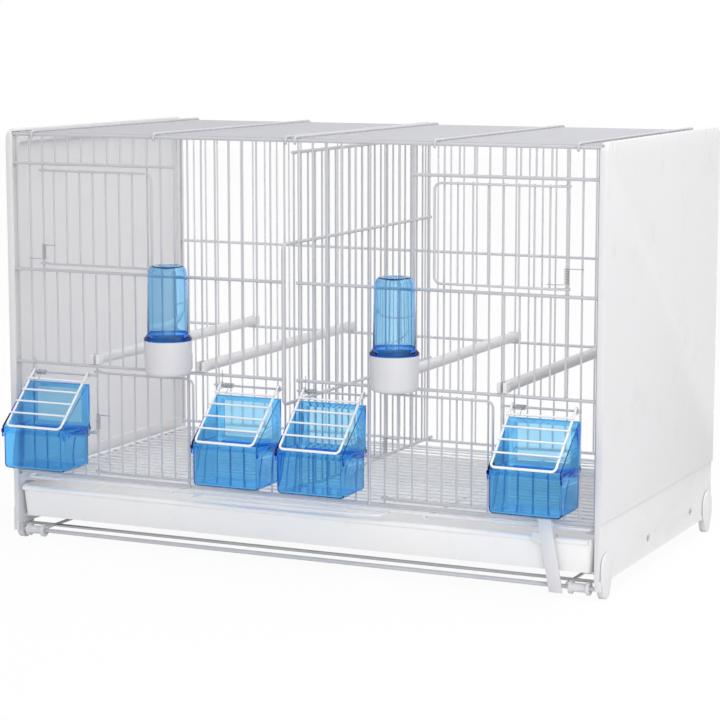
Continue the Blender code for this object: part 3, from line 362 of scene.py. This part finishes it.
def strung(name, radius, runs, sides=10, closed=False):
    """Bends round wire along paths of points and makes it one mesh with capped ends."""
    line = bpy.data.curves.new(name, "CURVE")
    line.dimensions = "3D"
    line.bevel_depth = radius
    line.bevel_resolution = (sides - 4) // 2
    line.use_fill_caps = True
    for run in runs:
        part = line.splines.new("POLY")
        part.use_cyclic_u = closed
        part.points.add(len(run) - 1)
        for point, place in zip(part.points, run):
            point.co = (*place, 1)
    piece = bpy.data.objects.new(name, line)
    bpy.context.scene.collection.objects.link(piece)
    select_only(piece)
    bpy.ops.object.convert(target="MESH")
    return bpy.context.object


def welds(name, places, across, size=0.0013):
    """Small beads of weld where wires cross, flattened along `across`."""
    bpy.ops.object.select_all(action="DESELECT")
    bpy.ops.mesh.primitive_uv_sphere_add(segments=8, ring_count=5, radius=size)
    bead = bpy.context.object
    flat = [0.72 if across[k] else 1 for k in range(3)]
    shape = [(v.co.x * flat[0], v.co.y * flat[1], v.co.z * flat[2]) for v in bead.data.vertices]
    faces = [tuple(f.vertices) for f in bead.data.polygons]
    bpy.data.objects.remove(bead)
    corners = [tuple(Vector(place) + Vector(p)) for place in places for p in shape]
    skins = [tuple(c + k * len(shape) for c in face) for k in range(len(places)) for face in faces]
    mesh = bpy.data.meshes.new(name)
    mesh.from_pydata(corners, [], skins)
    made = bpy.data.objects.new(name, mesh)
    bpy.context.scene.collection.objects.link(made)
    return made


def between(number, ends):
    return min(ends) < number < max(ends)


def upright_runs(number):
    """The heights between which one front upright runs."""
    gaps = []
    if any(between(number, ends) for ends in windows):
        gaps.append((feeder_z, door_z))
    if between(number, (6, 13)) or between(number, (27, 34)) or number in (13, 26):
        gaps.append((low_z, door_z))
    if between(number, (2, 10)) or between(number, (31, 39)):
        gaps.append((middle_z, upper_z))
    runs, start = [], low_z
    for low, high in gaps:
        if low > start:
            runs.append((start, low + tail))
        start = high - tail
    return runs + [(start, top_z)]


uprights = [[(wire_at(n), mesh_y, low), (wire_at(n), mesh_y, high)]
            for n in range(42) for low, high in upright_runs(n)]
half_rails = [(-rail_end, wire_at(20) + tail, middle_z), (wire_at(21) - tail, rail_end, middle_z),
              (-rail_end, wire_at(12) + tail, upper_z), (wire_at(29) - tail, rail_end, upper_z),
              (-rail_end, wire_at(13), door_z), (wire_at(27) - tail, rail_end, door_z),
              (-rail_end, wire_at(6) + tail, feeder_z), (wire_at(14) - tail, wire_at(20) + tail, feeder_z),
              (wire_at(21) - tail, wire_at(27) + tail, feeder_z), (wire_at(35) - tail, rail_end, feeder_z)]
rails = [[(left, rail_y, z), (right, rail_y, z)] for left, right, z in half_rails]
rails += [[(-rail_end, mesh_y, z), (rail_end, mesh_y, z)] for z in (low_z, top_z)]
for corner, end, side in ((13, 20, 1), (26, 21, -1)):
    x = wire_at(corner)
    rails.append([(x, rail_y, low_z - rail_radius)]
                 + arc((x + side * 0.003, rail_y, door_z - 0.003), 0.003, 180, 90, side * X, Z)
                 + [(wire_at(end) + side * tail, rail_y, door_z)])
rod_y = mesh_y - (0.0010 + upright_radius - 0.00035)
rods = [[(wire_at(a) - tail, rod_y, rod_z), (wire_at(b) + tail, rod_y, rod_z)] for a, b in windows]
weld_y = (mesh_y + rail_y) / 2
beads = [(x, weld_y, z) for (x, _, low), (_, _, high) in uprights for left, right, z in half_rails
         if left < x < right and low - tail < z < high + tail]
front = joined("front_wirework", strung("front_uprights", upright_radius, uprights, 8),
               strung("front_rails", rail_radius, rails, 12), strung("flap_rods", 0.0010, rods, 10),
               welds("front_welds", beads, Y))
settle(front, "cage", ("front_grille",), wire_coat)

# Back grille: the same wire, with uprights from top to bottom and two rails behind them.
back_y = front_y + 0.314
back_rail_y = back_y + (rail_radius + upright_radius - 0.00035)
uprights = [[(wire_at(n), back_y, low_z), (wire_at(n), back_y, top_z)] for n in range(42)]
rails = [[(-rail_end, back_rail_y, z), (rail_end, back_rail_y, z)] for z in (door_z, middle_z)]
rails += [[(-rail_end, back_y, z), (rail_end, back_y, z)] for z in (low_z, top_z)]
beads = [(wire_at(n), (back_y + back_rail_y) / 2, z) for n in range(42) for z in (door_z, middle_z)]
# The back grille's wires take the lighter copy of the wire coat, which is painted backlight.
settle(joined("back_wirework", strung("back_uprights", upright_radius, uprights, 8),
              strung("back_rails", rail_radius, rails, 12), welds("back_welds", beads, Y)),
       "cage", ("back_grille",), painted_backlight_coat)

# Roof grille: 22 long wires hang under six cross wires, whose ends hook round the top rails.
cross_radius = 0.00125
hook = rail_radius + 0.00035 + cross_radius
cross_z = top_z + hook
roof_z = cross_z - (cross_radius + upright_radius - 0.00035)
roof_rows = [front_y + 0.015 + 0.29 * k / 21 for k in range(22)]
roof_columns = [wire_at(place) for place in (1.3, 10.6, 30.4, 39.7)] + [-0.0045, 0.0045]
crosses = [arc((x, mesh_y, top_z), hook, -60, 90, -Y, Z, 10) + arc((x, back_y, top_z), hook, 90, -60, Y, Z, 10)
           for x in roof_columns]
settle(joined("roof_wirework", strung("roof_wires", upright_radius,
                                      [[(-rail_end, y, roof_z), (rail_end, y, roof_z)] for y in roof_rows], 8),
              strung("roof_crosses", cross_radius, crosses),
              welds("roof_welds", [(x, y, (cross_z + roof_z) / 2) for x in roof_columns for y in roof_rows], Z)),
       "cage", ("roof_grille",), wire_coat)

# Floor grille: slides on the panels' upper ledges, with a wide U of wire to pull it out by.
floor_z, floor_x = 0.059, 0.279
floor_front, floor_back = front_y + 0.009, front_y + 0.308
border = []
for x, y, first in ((floor_x - 0.006, floor_front + 0.006, -90), (floor_x - 0.006, floor_back - 0.006, 0),
                    (0.006 - floor_x, floor_back - 0.006, 90), (0.006 - floor_x, floor_front + 0.006, 180)):
    border += arc((x, y, floor_z), 0.006, first, first + 90, X, Y)
floor_rows = [floor_front + 0.299 / 21 * k for k in range(1, 21)]
under_z = floor_z - (rail_radius + upright_radius - 0.00035)
columns = [-0.45 * floor_x, 0.45 * floor_x]
pull = ([(-0.093, floor_front, floor_z)] + arc((-0.087, front_y - 0.007, floor_z), 0.006, 180, 270, X, Y)
        + arc((0.087, front_y - 0.007, floor_z), 0.006, 270, 360, X, Y) + [(0.093, floor_front, floor_z)])
# The floor grille's wires take the lightest copy of the wire coat, which is painted top light.
settle(joined("floor_wirework", strung("floor_border", rail_radius, [border], 12, True),
              strung("floor_wires", upright_radius,
                     [[(-floor_x, y, floor_z), (floor_x, y, floor_z)] for y in floor_rows], 8),
              strung("floor_crosses", rail_radius, [[(x, floor_front - tail, under_z), (x, floor_back + tail, under_z)]
                                                    for x in columns], 12),
              strung("floor_pull", 0.0011, [pull]),
              welds("floor_welds", [(x, y, (floor_z + under_z) / 2) for x in columns for y in floor_rows], Z)),
       "floor", ("floor_grille",), painted_toplight_coat)

# Divider: a wire grid that slides in from the front between the two middle uprights. A long
# loop of thicker wire stands out in front as its handle.
grid_low, grid_high = 0.0683, 0.368
grid_front, grid_back = front_y + 0.0105, front_y + 0.305
grid_rows = [grid_front + (grid_back - grid_front) * k / 21 for k in range(22)]
loop_x, loop_y = 0.00205, front_y - 0.015
loop = ([(loop_x, grid_back + 0.002, 0.150)] + arc((loop_x, loop_y + 0.006, 0.156), 0.006, 270, 180, Y, Z)
        + arc((loop_x, loop_y + 0.006, 0.284), 0.006, 180, 90, Y, Z) + [(loop_x, grid_back + 0.002, 0.290)])
edges = [[(0, mesh_y - rail_radius - 0.002, grid_low), (0, back_y + rail_radius, grid_low)],
         [(0, grid_front - 0.002, grid_high), (0, grid_back + 0.002, grid_high)]]
settle(joined("divider_wirework", strung("divider_uprights", upright_radius,
                                         [[(0, y, grid_low), (0, y, grid_high)] for y in grid_rows], 8),
              strung("divider_edges", rail_radius, edges + [loop], 12),
              welds("divider_welds", [(loop_x / 2, y, z) for y in grid_rows for z in (0.150, 0.290)], X)),
       "divider", ("divider",), wire_coat)

# Doors: one bent wire whose ends curl round a hinge upright, filled with wires of its own.
door_radius = 0.0011
eye_radius = upright_radius + 0.00035 + door_radius
door_y = mesh_y - 0.005
door_mesh_y = door_y + (door_radius + upright_radius - 0.00035)
spring_steel = finish("spring_steel", (0.50, 0.50, 0.52), (0.40, 0.40, 0.43), 0.28, 500, 0.00002, 60, 0.3)
spring_steel.node_tree.nodes["Principled BSDF"].inputs["Metallic"].default_value = 1


def door_leg(x, z, along):
    eye = arc((x, mesh_y, z), eye_radius, 30, 270, along, Y, 14)
    return eye + [Vector((x, mesh_y - eye_radius, z)) + 0.006 * along, Vector((x, door_y, z)) + 0.011 * along]


def coil(centre, axis, right, up, radius, pitch, first, last, steps=16):
    """Points of a helix about an axis, turning from `right` towards `up`."""
    count = round(abs(last - first) / 360 * steps)
    points = []
    for k in range(count + 1):
        turn = math.radians(first + (last - first) * k / count)
        points.append(centre + pitch * abs(last - first) / 360 * k / count * axis
                      + radius * (math.cos(turn) * right + math.sin(turn) * up))
    return points


doors = (("upper_left", 2, 10, 1, 0.2612, 0.3463, 0.5, 0.265, False),
         ("upper_right", 39, 31, -1, 0.2612, 0.3463, 0.5, 0.265, False),
         ("lower_left", 6, 13, 1, 0.0712, 0.1635, 0.46, 0.111, True),
         ("lower_right", 27, 34, 1, 0.0712, 0.1635, 0.46, 0.111, True))
for name, hinge, bound, side, low, high, share, spring_low, on_rail in doors:
    hinge_x, free_x, along = wire_at(hinge), wire_at(bound) + side * share * pitch, side * X
    path = door_leg(hinge_x, low, along)
    for z, turn, first in ((low, 1, -90), (high, -1, 0)):
        path += arc((free_x - side * 0.006, door_y, z + turn * 0.006), 0.006, first, first + 90, along, Z)
    path += reversed(door_leg(hinge_x, high, along))
    inner = range(min(hinge, bound) + 1, max(hinge, bound))
    settle(joined(name + "_door_wirework", strung("door_frame", door_radius, [path]),
                  strung("door_wires", upright_radius,
                         [[(wire_at(n), door_mesh_y, low - tail), (wire_at(n), door_mesh_y, high + tail)]
                          for n in inner], 8),
                  welds("door_welds", [(wire_at(n), (door_y + door_mesh_y) / 2, z) for n in inner
                                       for z in (low, high)], Y, 0.0011)),
           name + "_door", (name + "_door",), wire_coat)
    # The spring's coil of fine steel wire: one leg lies on the grille and one on the door
    turns, length, thin = 8, 0.0132, 0.00035
    rises = side > 0
    start_z = spring_low if rises else spring_low + length
    axis = Z if rises else -Z
    centre = Vector((hinge_x, mesh_y, start_z))
    wound = coil(centre, axis, along, Y, upright_radius + thin + 0.0007, length / turns, -90, -90 + 360 * turns)
    if on_rail:
        fixed = Vector((hinge_x, rail_y - rail_radius - thin - 0.0003, feeder_z)) - 0.005 * along
    else:
        fixed = Vector((hinge_x, mesh_y - upright_radius - thin - 0.0003, start_z)) - (pitch + 0.002) * along
    pressed = Vector((hinge_x, door_mesh_y - upright_radius - thin - 0.0003, wound[-1].z))
    piece = strung(name + "_door_coil", thin, [[fixed] + wound + [pressed + 0.010 * along,
                                                                  pressed + (pitch + 0.002) * along]], 8)
    shade(piece, 60)
    settle(piece, "cage", (name + "_door_spring",), spring_steel)

# Feeders: clear blue boxes with a rolled lip and a sloped hood, hung on the feeder rail.
def clear(name, colour, depth_colour, density, roughness=0.05):
    """Tinted see-through plastic: the tint deepens with the thickness that light crosses."""
    made = bpy.data.materials.new(name)
    made.use_nodes = True
    made.diffuse_color = (*colour, 0.6)
    nodes, links = made.node_tree.nodes, made.node_tree.links
    shader = nodes["Principled BSDF"]
    shader.inputs["Transmission Weight"].default_value = 1
    shader.inputs["IOR"].default_value = 1.25
    grain = nodes.new("ShaderNodeGroup")
    grain.node_tree = surface
    grain.inputs["Grain Scale"].default_value = 60
    grain.inputs["Cloud Scale"].default_value = 25
    tint, rough, bump = (nodes.new("ShaderNodeMix"), nodes.new("ShaderNodeMapRange"), nodes.new("ShaderNodeBump"))
    tint.data_type = "RGBA"
    tint.inputs[6].default_value = (*colour, 1)
    tint.inputs[7].default_value = (*[0.95 * c for c in colour], 1)
    links.new(grain.outputs["Cloud"], tint.inputs[0])
    links.new(tint.outputs[2], shader.inputs["Base Color"])
    rough.inputs["To Min"].default_value = roughness - 0.03
    rough.inputs["To Max"].default_value = roughness + 0.03
    links.new(grain.outputs["Cloud"], rough.inputs["Value"])
    links.new(rough.outputs["Result"], shader.inputs["Roughness"])
    bump.inputs["Distance"].default_value = 0.0001
    bump.inputs["Strength"].default_value = 0.15
    links.new(grain.outputs["Grain"], bump.inputs["Height"])
    links.new(bump.outputs["Normal"], shader.inputs["Normal"])
    # Light that falls through the plastic keeps its tint instead of stopping at a dark shadow
    rays, thin = nodes.new("ShaderNodeLightPath"), nodes.new("ShaderNodeMath")
    thin.operation = "MULTIPLY_ADD"
    thin.inputs[1].default_value = -0.85
    thin.inputs[2].default_value = 1
    links.new(rays.outputs["Is Shadow Ray"], thin.inputs[0])
    links.new(thin.outputs[0], shader.inputs["Alpha"])
    inside = nodes.new("ShaderNodeVolumeAbsorption")
    inside.inputs["Color"].default_value = (*depth_colour, 1)
    inside.inputs["Density"].default_value = density
    links.new(inside.outputs[0], nodes["Material Output"].inputs["Volume"])
    return made


def tub(name, low, high, corner):
    """A block whose upright and lower edges are rounded, and whose upper edges stay sharp."""
    piece = block(name, low, high, 0)
    mesh = piece.data
    weights = mesh.attributes.new("bevel_weight_edge", "FLOAT", "EDGE")
    for edge, weight in zip(mesh.edges, weights.data):
        weight.value = 0 if all(mesh.vertices[v].co.z > high[2] - 0.0001 for v in edge.vertices) else 1
    bevel = piece.modifiers.new("mould_corners", "BEVEL")
    bevel.limit_method = "WEIGHT"
    bevel.width = corner
    bevel.segments = 5
    bpy.ops.object.modifier_apply(modifier=bevel.name)
    return piece


def hood_outline(shrink):
    """The hood's side view, `shrink` smaller all round."""
    across, up = -slope.z * shrink, -slope.y * shrink
    front, top, back = hood_low.y + shrink, 0.152 - shrink, feeder_back - shrink
    low_z = hood_low.z - up + slope.z / slope.y * (front - hood_low.y - across)
    high_y = hood_high.y + across + slope.y / slope.z * (top - hood_high.z + up)
    return [(front, 0.1126 - 2 * shrink), (back, 0.1126 - 2 * shrink), (back, top), (high_y, top), (front, low_z)]


feeder_low, feeder_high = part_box("feeder_1")
feeder_half, feeder_middle = (feeder_high.x - feeder_low.x) / 2, (feeder_high.x + feeder_low.x) / 2
feeder_back = rail_y - rail_radius - 0.0003
feeder_front = feeder_back - 0.048
hood_low = Vector((0, feeder_back - 0.0470, 0.116))
hood_high = Vector((0, feeder_back - 0.0037, 0.152))
slope = (hood_low - hood_high).normalized()
thick, lip = 0.0014, 0.001


def feeder_block(name, inset, low, high, corner):
    return tub(name, (feeder_middle - feeder_half + inset, feeder_front + inset, low),
               (feeder_middle + feeder_half - inset, feeder_back - inset, high), corner)


def hood_block(name, shrink):
    reach = feeder_half - lip - shrink
    return extruded(name, hood_outline(shrink), feeder_middle - reach, feeder_middle + reach)


feeder = feeder_block("feeder_mould", lip, 0.077, 0.112, 0.0042)
feeder = combined(feeder, block("feeder_lip", (feeder_middle - feeder_half, feeder_front, 0.110),
                                (feeder_middle + feeder_half, feeder_back, 0.114), 0.0008), "UNION")
feeder = combined(feeder, hood_block("hood_mould", 0), "UNION")
hollow = combined(feeder_block("bin_hollow", lip + thick, 0.077 + thick, 0.114, 0.003),
                  hood_block("hood_hollow", thick), "UNION")
feeder = combined(feeder, hollow, "DIFFERENCE")
window = block("feeding_window", (feeder_middle - feeder_half + 0.009, feeder_back - 0.003, 0.115),
               (feeder_middle + feeder_half - 0.009, feeder_back + 0.002, 0.147), 0)
feeder = combined(feeder, window, "DIFFERENCE")
for side in (-1, 1):
    ends = (feeder_middle + side * (feeder_half - 0.0016), feeder_middle + side * (feeder_half - 0.0001))
    feeder = combined(feeder, block("lip_tab", (min(ends), feeder_front + 0.0014, 0.1062),
                                    (max(ends), feeder_front + 0.0058, 0.1106), 0.0002), "UNION")
hook_back, hook_top = mesh_y + 0.0012, feeder_z + rail_radius + 0.0003
hook = extruded("rail_hook", [(feeder_back - 0.0007, hook_top), (hook_back, hook_top), (hook_back, hook_top - 0.006),
                              (hook_back + 0.0016, hook_top - 0.006), (hook_back + 0.0016, hook_top + 0.0016),
                              (feeder_back - 0.0007, hook_top + 0.0016)],
                feeder_middle - feeder_half + 0.006, feeder_middle + feeder_half - 0.006)
feeder = combined(feeder, hook, "UNION")
bevel = feeder.modifiers.new("soft_edges", "BEVEL")
bevel.width, bevel.segments = 0.0003, 2
bevel.angle_limit = math.radians(40)
select_only(feeder)
bpy.ops.object.modifier_apply(modifier=bevel.name)
shade(feeder, 40)
blue_plastic = clear("blue_plastic", (0.86, 0.99, 1.0), (0.0, 0.66, 1.0), 480)
for number in "1234":
    low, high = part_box("feeder_" + number)
    piece = feeder if number == "1" else feeder.copy()
    if number != "1":
        piece.data = feeder.data.copy()
        bpy.context.scene.collection.objects.link(piece)
        piece.data.transform(Matrix.Translation(((low.x + high.x) / 2 - feeder_middle, 0, 0)))
    piece.name = "feeder_box_" + number
    settle(piece, "cage", ("feeder_" + number,), blue_plastic if number == "1" else None)

# Feeder flaps: a wire frame that hangs by two curled eyes from a rod and lies on the hood,
# held down by a small coil spring.
flap_eye = 0.0010 + 0.00035 + door_radius
foot = hood_low + Vector((0, slope.z, -slope.y)) * (door_radius + 0.00035)
span = foot - Vector((0, rod_y, rod_z))
lean = math.atan2(-span.z, -span.y) + math.asin(flap_eye / span.length)
down, out = Vector((0, -math.cos(lean), -math.sin(lean))), Vector((0, -math.sin(lean), math.cos(lean)))
flap_length = math.sqrt(span.length ** 2 - flap_eye ** 2)
flap_half = feeder_half - 0.0047
bar_out = flap_eye + door_radius + upright_radius - 0.00035
for index, (first_wire, last_wire) in enumerate(windows):
    number = str(index + 1)
    middle = (wire_at(first_wire) + wire_at(last_wire)) / 2
    if index in (0, 3):
        middle += math.copysign(0.003, middle)
    at = Vector((middle, rod_y, rod_z))
    path = arc(at - flap_half * X, flap_eye, 30, 270, down, -out, 14)
    foot = at + flap_eye * out + flap_length * down
    for side, first in ((-1, 180), (1, 270)):
        path += arc(foot + side * (flap_half - 0.004) * X - 0.004 * down, 0.004, first, first + 90, X, -down)
    path += reversed(arc(at + flap_half * X, flap_eye, 30, 270, down, -out, 14))
    bars = [[at + share * flap_length * down + bar_out * out + side * (flap_half + 0.0012) * X for side in (-1, 1)]
            for share in (0.17, 0.37, 0.575, 0.785)]
    # The flap wires take the lightest copy of the wire coat, which is painted top light.
    settle(joined("flap_wirework_" + number, strung("flap_frame", door_radius, [path]),
                  strung("flap_bars", upright_radius, bars, 8)),
           "feeder_flap_" + number, ("feeder_flap_" + number,), painted_toplight_coat)
    turns, length, thin = 6, 0.0096, 0.00035
    start = at + (0.0012 + door_radius - flap_half) * X
    swing = 90 - math.degrees(lean)
    wound = coil(start, X, Y, Z, 0.0010 + thin + 0.0007, length / turns, 180, 180 + 360 * turns - swing)
    rest_y = rail_y - rail_radius - 0.0003 - thin
    base = Vector((wound[-1].x, rod_y, rod_z)) + (bar_out + upright_radius + 0.0003 + thin) * out
    reach = 0.17 * flap_length
    piece = strung("flap_coil_" + number, thin,
                   [[(start.x, rest_y, door_z + 0.005), (start.x, rest_y, door_z - rail_radius)] + wound
                    + [base + 0.62 * reach * down, base + (reach + 0.002) * down]], 8)
    shade(piece, 60)
    settle(piece, "cage", ("flap_spring_" + number,), spring_steel)


# Drinkers: a white cup whose spout reaches in between two uprights, and a clear blue tube that
# stands upside down in it, with a broad flange on the cup's rim and a dimpled crown.
def turned(name, profile, centre, steps=48):
    """Spins a profile of (radius, height) about an upright axis into a closed shape."""
    mesh = bpy.data.meshes.new(name)
    points = [Vector(centre) + Vector((r, 0, z)) for r, z in profile]
    mesh.from_pydata([tuple(p) for p in points], [(k, k + 1) for k in range(len(points) - 1)], [])
    piece = bpy.data.objects.new(name, mesh)
    bpy.context.scene.collection.objects.link(piece)
    select_only(piece)
    bpy.ops.object.mode_set(mode="EDIT")
    bpy.ops.mesh.select_all(action="SELECT")
    bpy.ops.mesh.spin(steps=steps, angle=math.tau, center=centre, axis=(0, 0, 1))
    bpy.ops.mesh.select_all(action="SELECT")
    bpy.ops.mesh.remove_doubles(threshold=0.00001)
    bpy.ops.mesh.normals_make_consistent(inside=False)
    bpy.ops.object.mode_set(mode="OBJECT")
    return piece


def rounded(profile, places, radius, steps=4):
    """The same profile with some of its corners rounded."""
    out = []
    for k, (r, z) in enumerate(profile):
        if k not in places:
            out.append((r, z))
            continue
        here, before, after = Vector((r, z)), Vector(profile[k - 1]), Vector(profile[k + 1])
        size = radius if not isinstance(radius, dict) else radius[k]
        start, end = here + (before - here).normalized() * size, here + (after - here).normalized() * size
        for s in range(steps + 1):
            t = s / steps
            out.append(tuple((1 - t) ** 2 * start + 2 * t * (1 - t) * here + t * t * end))
    return out


tube_plastic = clear("tube_plastic", (0.88, 0.98, 1.0), (0.0, 0.60, 1.0), 250)
cup_plastic = finish("cup_plastic", (0.66, 0.655, 0.67), (0.62, 0.615, 0.63), 0.38, 1500, 0.00003, 20, 0.2)
cup_y = rail_y - rail_radius - 0.001 - 0.0214
for side, wire in (("left", 12), ("right", 28)):
    x = wire_at(wire) + pitch / 2
    cup = turned("drinker_cup_shell_" + side, rounded(
        [(0, 0.1702), (0.0205, 0.1702), (0.0214, 0.201), (0.0198, 0.201), (0.0189, 0.1738), (0.0172, 0.1718),
         (0, 0.1718)], (1, 4), {1: 0.004, 4: 0.001}), (x, cup_y, 0))
    spout_x = pitch / 2 - 0.0019
    spout = block("spout", (x - spout_x, cup_y + 0.0180, 0.1708), (x + spout_x, front_y + 0.016, 0.1858), 0.0008)
    channel = block("channel", (x - spout_x + 0.0014, cup_y + 0.0156, 0.1722),
                    (x + spout_x - 0.0014, front_y + 0.0146, 0.1878), 0)
    cup = combined(combined(cup, spout, "UNION"), channel, "DIFFERENCE")
    shade(cup)
    settle(cup, "drinker_cup_" + side, ("drinker_cup_" + side,), cup_plastic)
    tube = turned("drinker_tube_shell_" + side, rounded(
        [(0, 0.2657), (0.0078, 0.2658), (0.0098, 0.2673), (0.0134, 0.2673), (0.0168, 0.2643), (0.0174, 0.2573),
         (0.0184, 0.2063), (0.0214, 0.2033), (0.0214, 0.2013), (0.0172, 0.2013), (0.0172, 0.1745),
         (0.0158, 0.1745), (0.0158, 0.2033), (0.0170, 0.2073), (0.0160, 0.2573), (0.0153, 0.2629),
         (0.0130, 0.2659), (0.0100, 0.2659), (0.0082, 0.2645), (0, 0.2643)],
        (2, 4, 6, 15), {2: 0.001, 4: 0.0025, 6: 0.002, 15: 0.002}), (x, cup_y, 0))
    shade(tube, 40)
    settle(tube, "drinker_tube_" + side, ("drinker_tube_" + side,), tube_plastic)

# Perches: round white plastic bars, forked at both ends to grip an upright above the door rail.
for index, wire in enumerate((6, 14, 27, 35)):
    node = "perch_%d" % (index + 1)
    x, z = wire_at(wire), 0.1753
    bar_front, bar_back = front_y + 0.0068, front_y + 0.3132
    bpy.ops.object.select_all(action="DESELECT")
    bpy.ops.mesh.primitive_cylinder_add(vertices=32, radius=0.005, depth=bar_back - bar_front,
                                        location=(x, (bar_front + bar_back) / 2, z),
                                        rotation=(math.radians(90), 0, 0))
    piece = bpy.context.object
    bpy.ops.object.transform_apply(location=True, rotation=True, scale=True)
    for start, slot_low, slot_high in ((0.0008, -0.001, 0.0080), (0.3072, 0.312, 0.321)):
        fork = block("fork", (x - 0.0045, front_y + start, z - 0.0045),
                     (x + 0.0045, front_y + start + 0.012, z + 0.0045), 0.001)
        cut = block("fork_slot", (x - 0.0013, front_y + slot_low, z - 0.01),
                    (x + 0.0013, front_y + slot_high, z + 0.01), 0)
        piece = combined(combined(piece, fork, "UNION"), cut, "DIFFERENCE")
    piece.name = node + "_bar"
    shade(piece, 40)
    settle(piece, node, (node,), panel_plastic)

# Litter tray: a shallow vacuum-formed pan of off-white plastic, with a clip over its front rim.
tray_plastic = finish("tray_plastic", (0.90, 0.885, 0.87), (0.875, 0.86, 0.845), 0.42, 1100, 0.00005, 5)
tray = softened("tray", "litter_tray", 0.0005)
bead_y, bead_z = front_y + 0.0008, 0.0500
tray = combined(tray, strung("rolled_rim", 0.0024, [[(-0.2785, bead_y, bead_z), (0.2785, bead_y, bead_z)]], 16),
                "UNION")
shade(tray)
settle(tray, "tray", ("tray",), tray_plastic)
strap = softened("tray_clip", "tray_strap", 0.0004)
strap_x, rim_z = 0.86 * 0.284, 0.0528
tab = block("clip_tab", (strap_x - 0.0135, front_y - 0.0066, 0.0478), (strap_x - 0.005, front_y - 0.0054, 0.0568),
            0.0003)
gusset = extruded("clip_gusset", [(front_y - 0.0072, 0.0672), (front_y - 0.0052, 0.0535), (front_y + 0.0016, 0.0535)],
                  strap_x + 0.0040, strap_x + 0.0054)
strap = combined(combined(strap, tab, "UNION"), gusset, "UNION")
shade(strap)
settle(strap, "tray", ("tray_clip",), panel_plastic)

# Base frame: grey rods between the feet, with a white plastic roller at each end of the front one.
base_coat = finish("base_coat", (0.62, 0.62, 0.63), (0.56, 0.56, 0.57), 0.38, 700, 0.00006, 40)
base_rods = softened("base_frame", "base_rods", 0.0004, 3)
settle(base_rods, "cage", ("base_frame",), base_coat)
for side in ("left", "right"):
    settle(softened(side + "_roller", side + "_bobbin", 0.0003), side + "_roller",
           (side + "_roller",), panel_plastic)

# Feet: white plastic tongues pushed over the panels' lower corners. Each has a round top and
# narrows to a rounded toe, and its upper half lies on the panel's outer face.
for place, sign, middle in (("front_left", -1, 0.015), ("front_right", 1, 0.015),
                            ("rear_left", -1, 0.305), ("rear_right", 1, 0.305)):
    y = front_y + middle
    outline = arc((0, y, 0.0268), 0.013, 0, 180, Y, Z, 16) + [Vector((0, y - 0.013, 0.0165))]
    outline += arc((0, y, 0.0080), 0.0080, 188, 352, Y, Z, 14) + [Vector((0, y + 0.013, 0.0165))]
    inner, outer = sorted((sign * 0.2843, sign * 0.2907))
    piece = extruded("foot_" + place + "_tongue", [(point.y, point.z) for point in outline], inner, outer)
    piece = combined(piece, side_block("panel_seat", sign, (0.280, 0.2888), (middle - 0.02, middle + 0.02),
                                       (0.0147, 0.05)), "DIFFERENCE")
    bevel = piece.modifiers.new("soft_edges", "BEVEL")
    bevel.width, bevel.segments = 0.0007, 3
    bevel.angle_limit = math.radians(35)
    select_only(piece)
    bpy.ops.object.modifier_apply(modifier=bevel.name)
    shade(piece)
    settle(piece, "cage", ("foot_" + place,), panel_plastic)
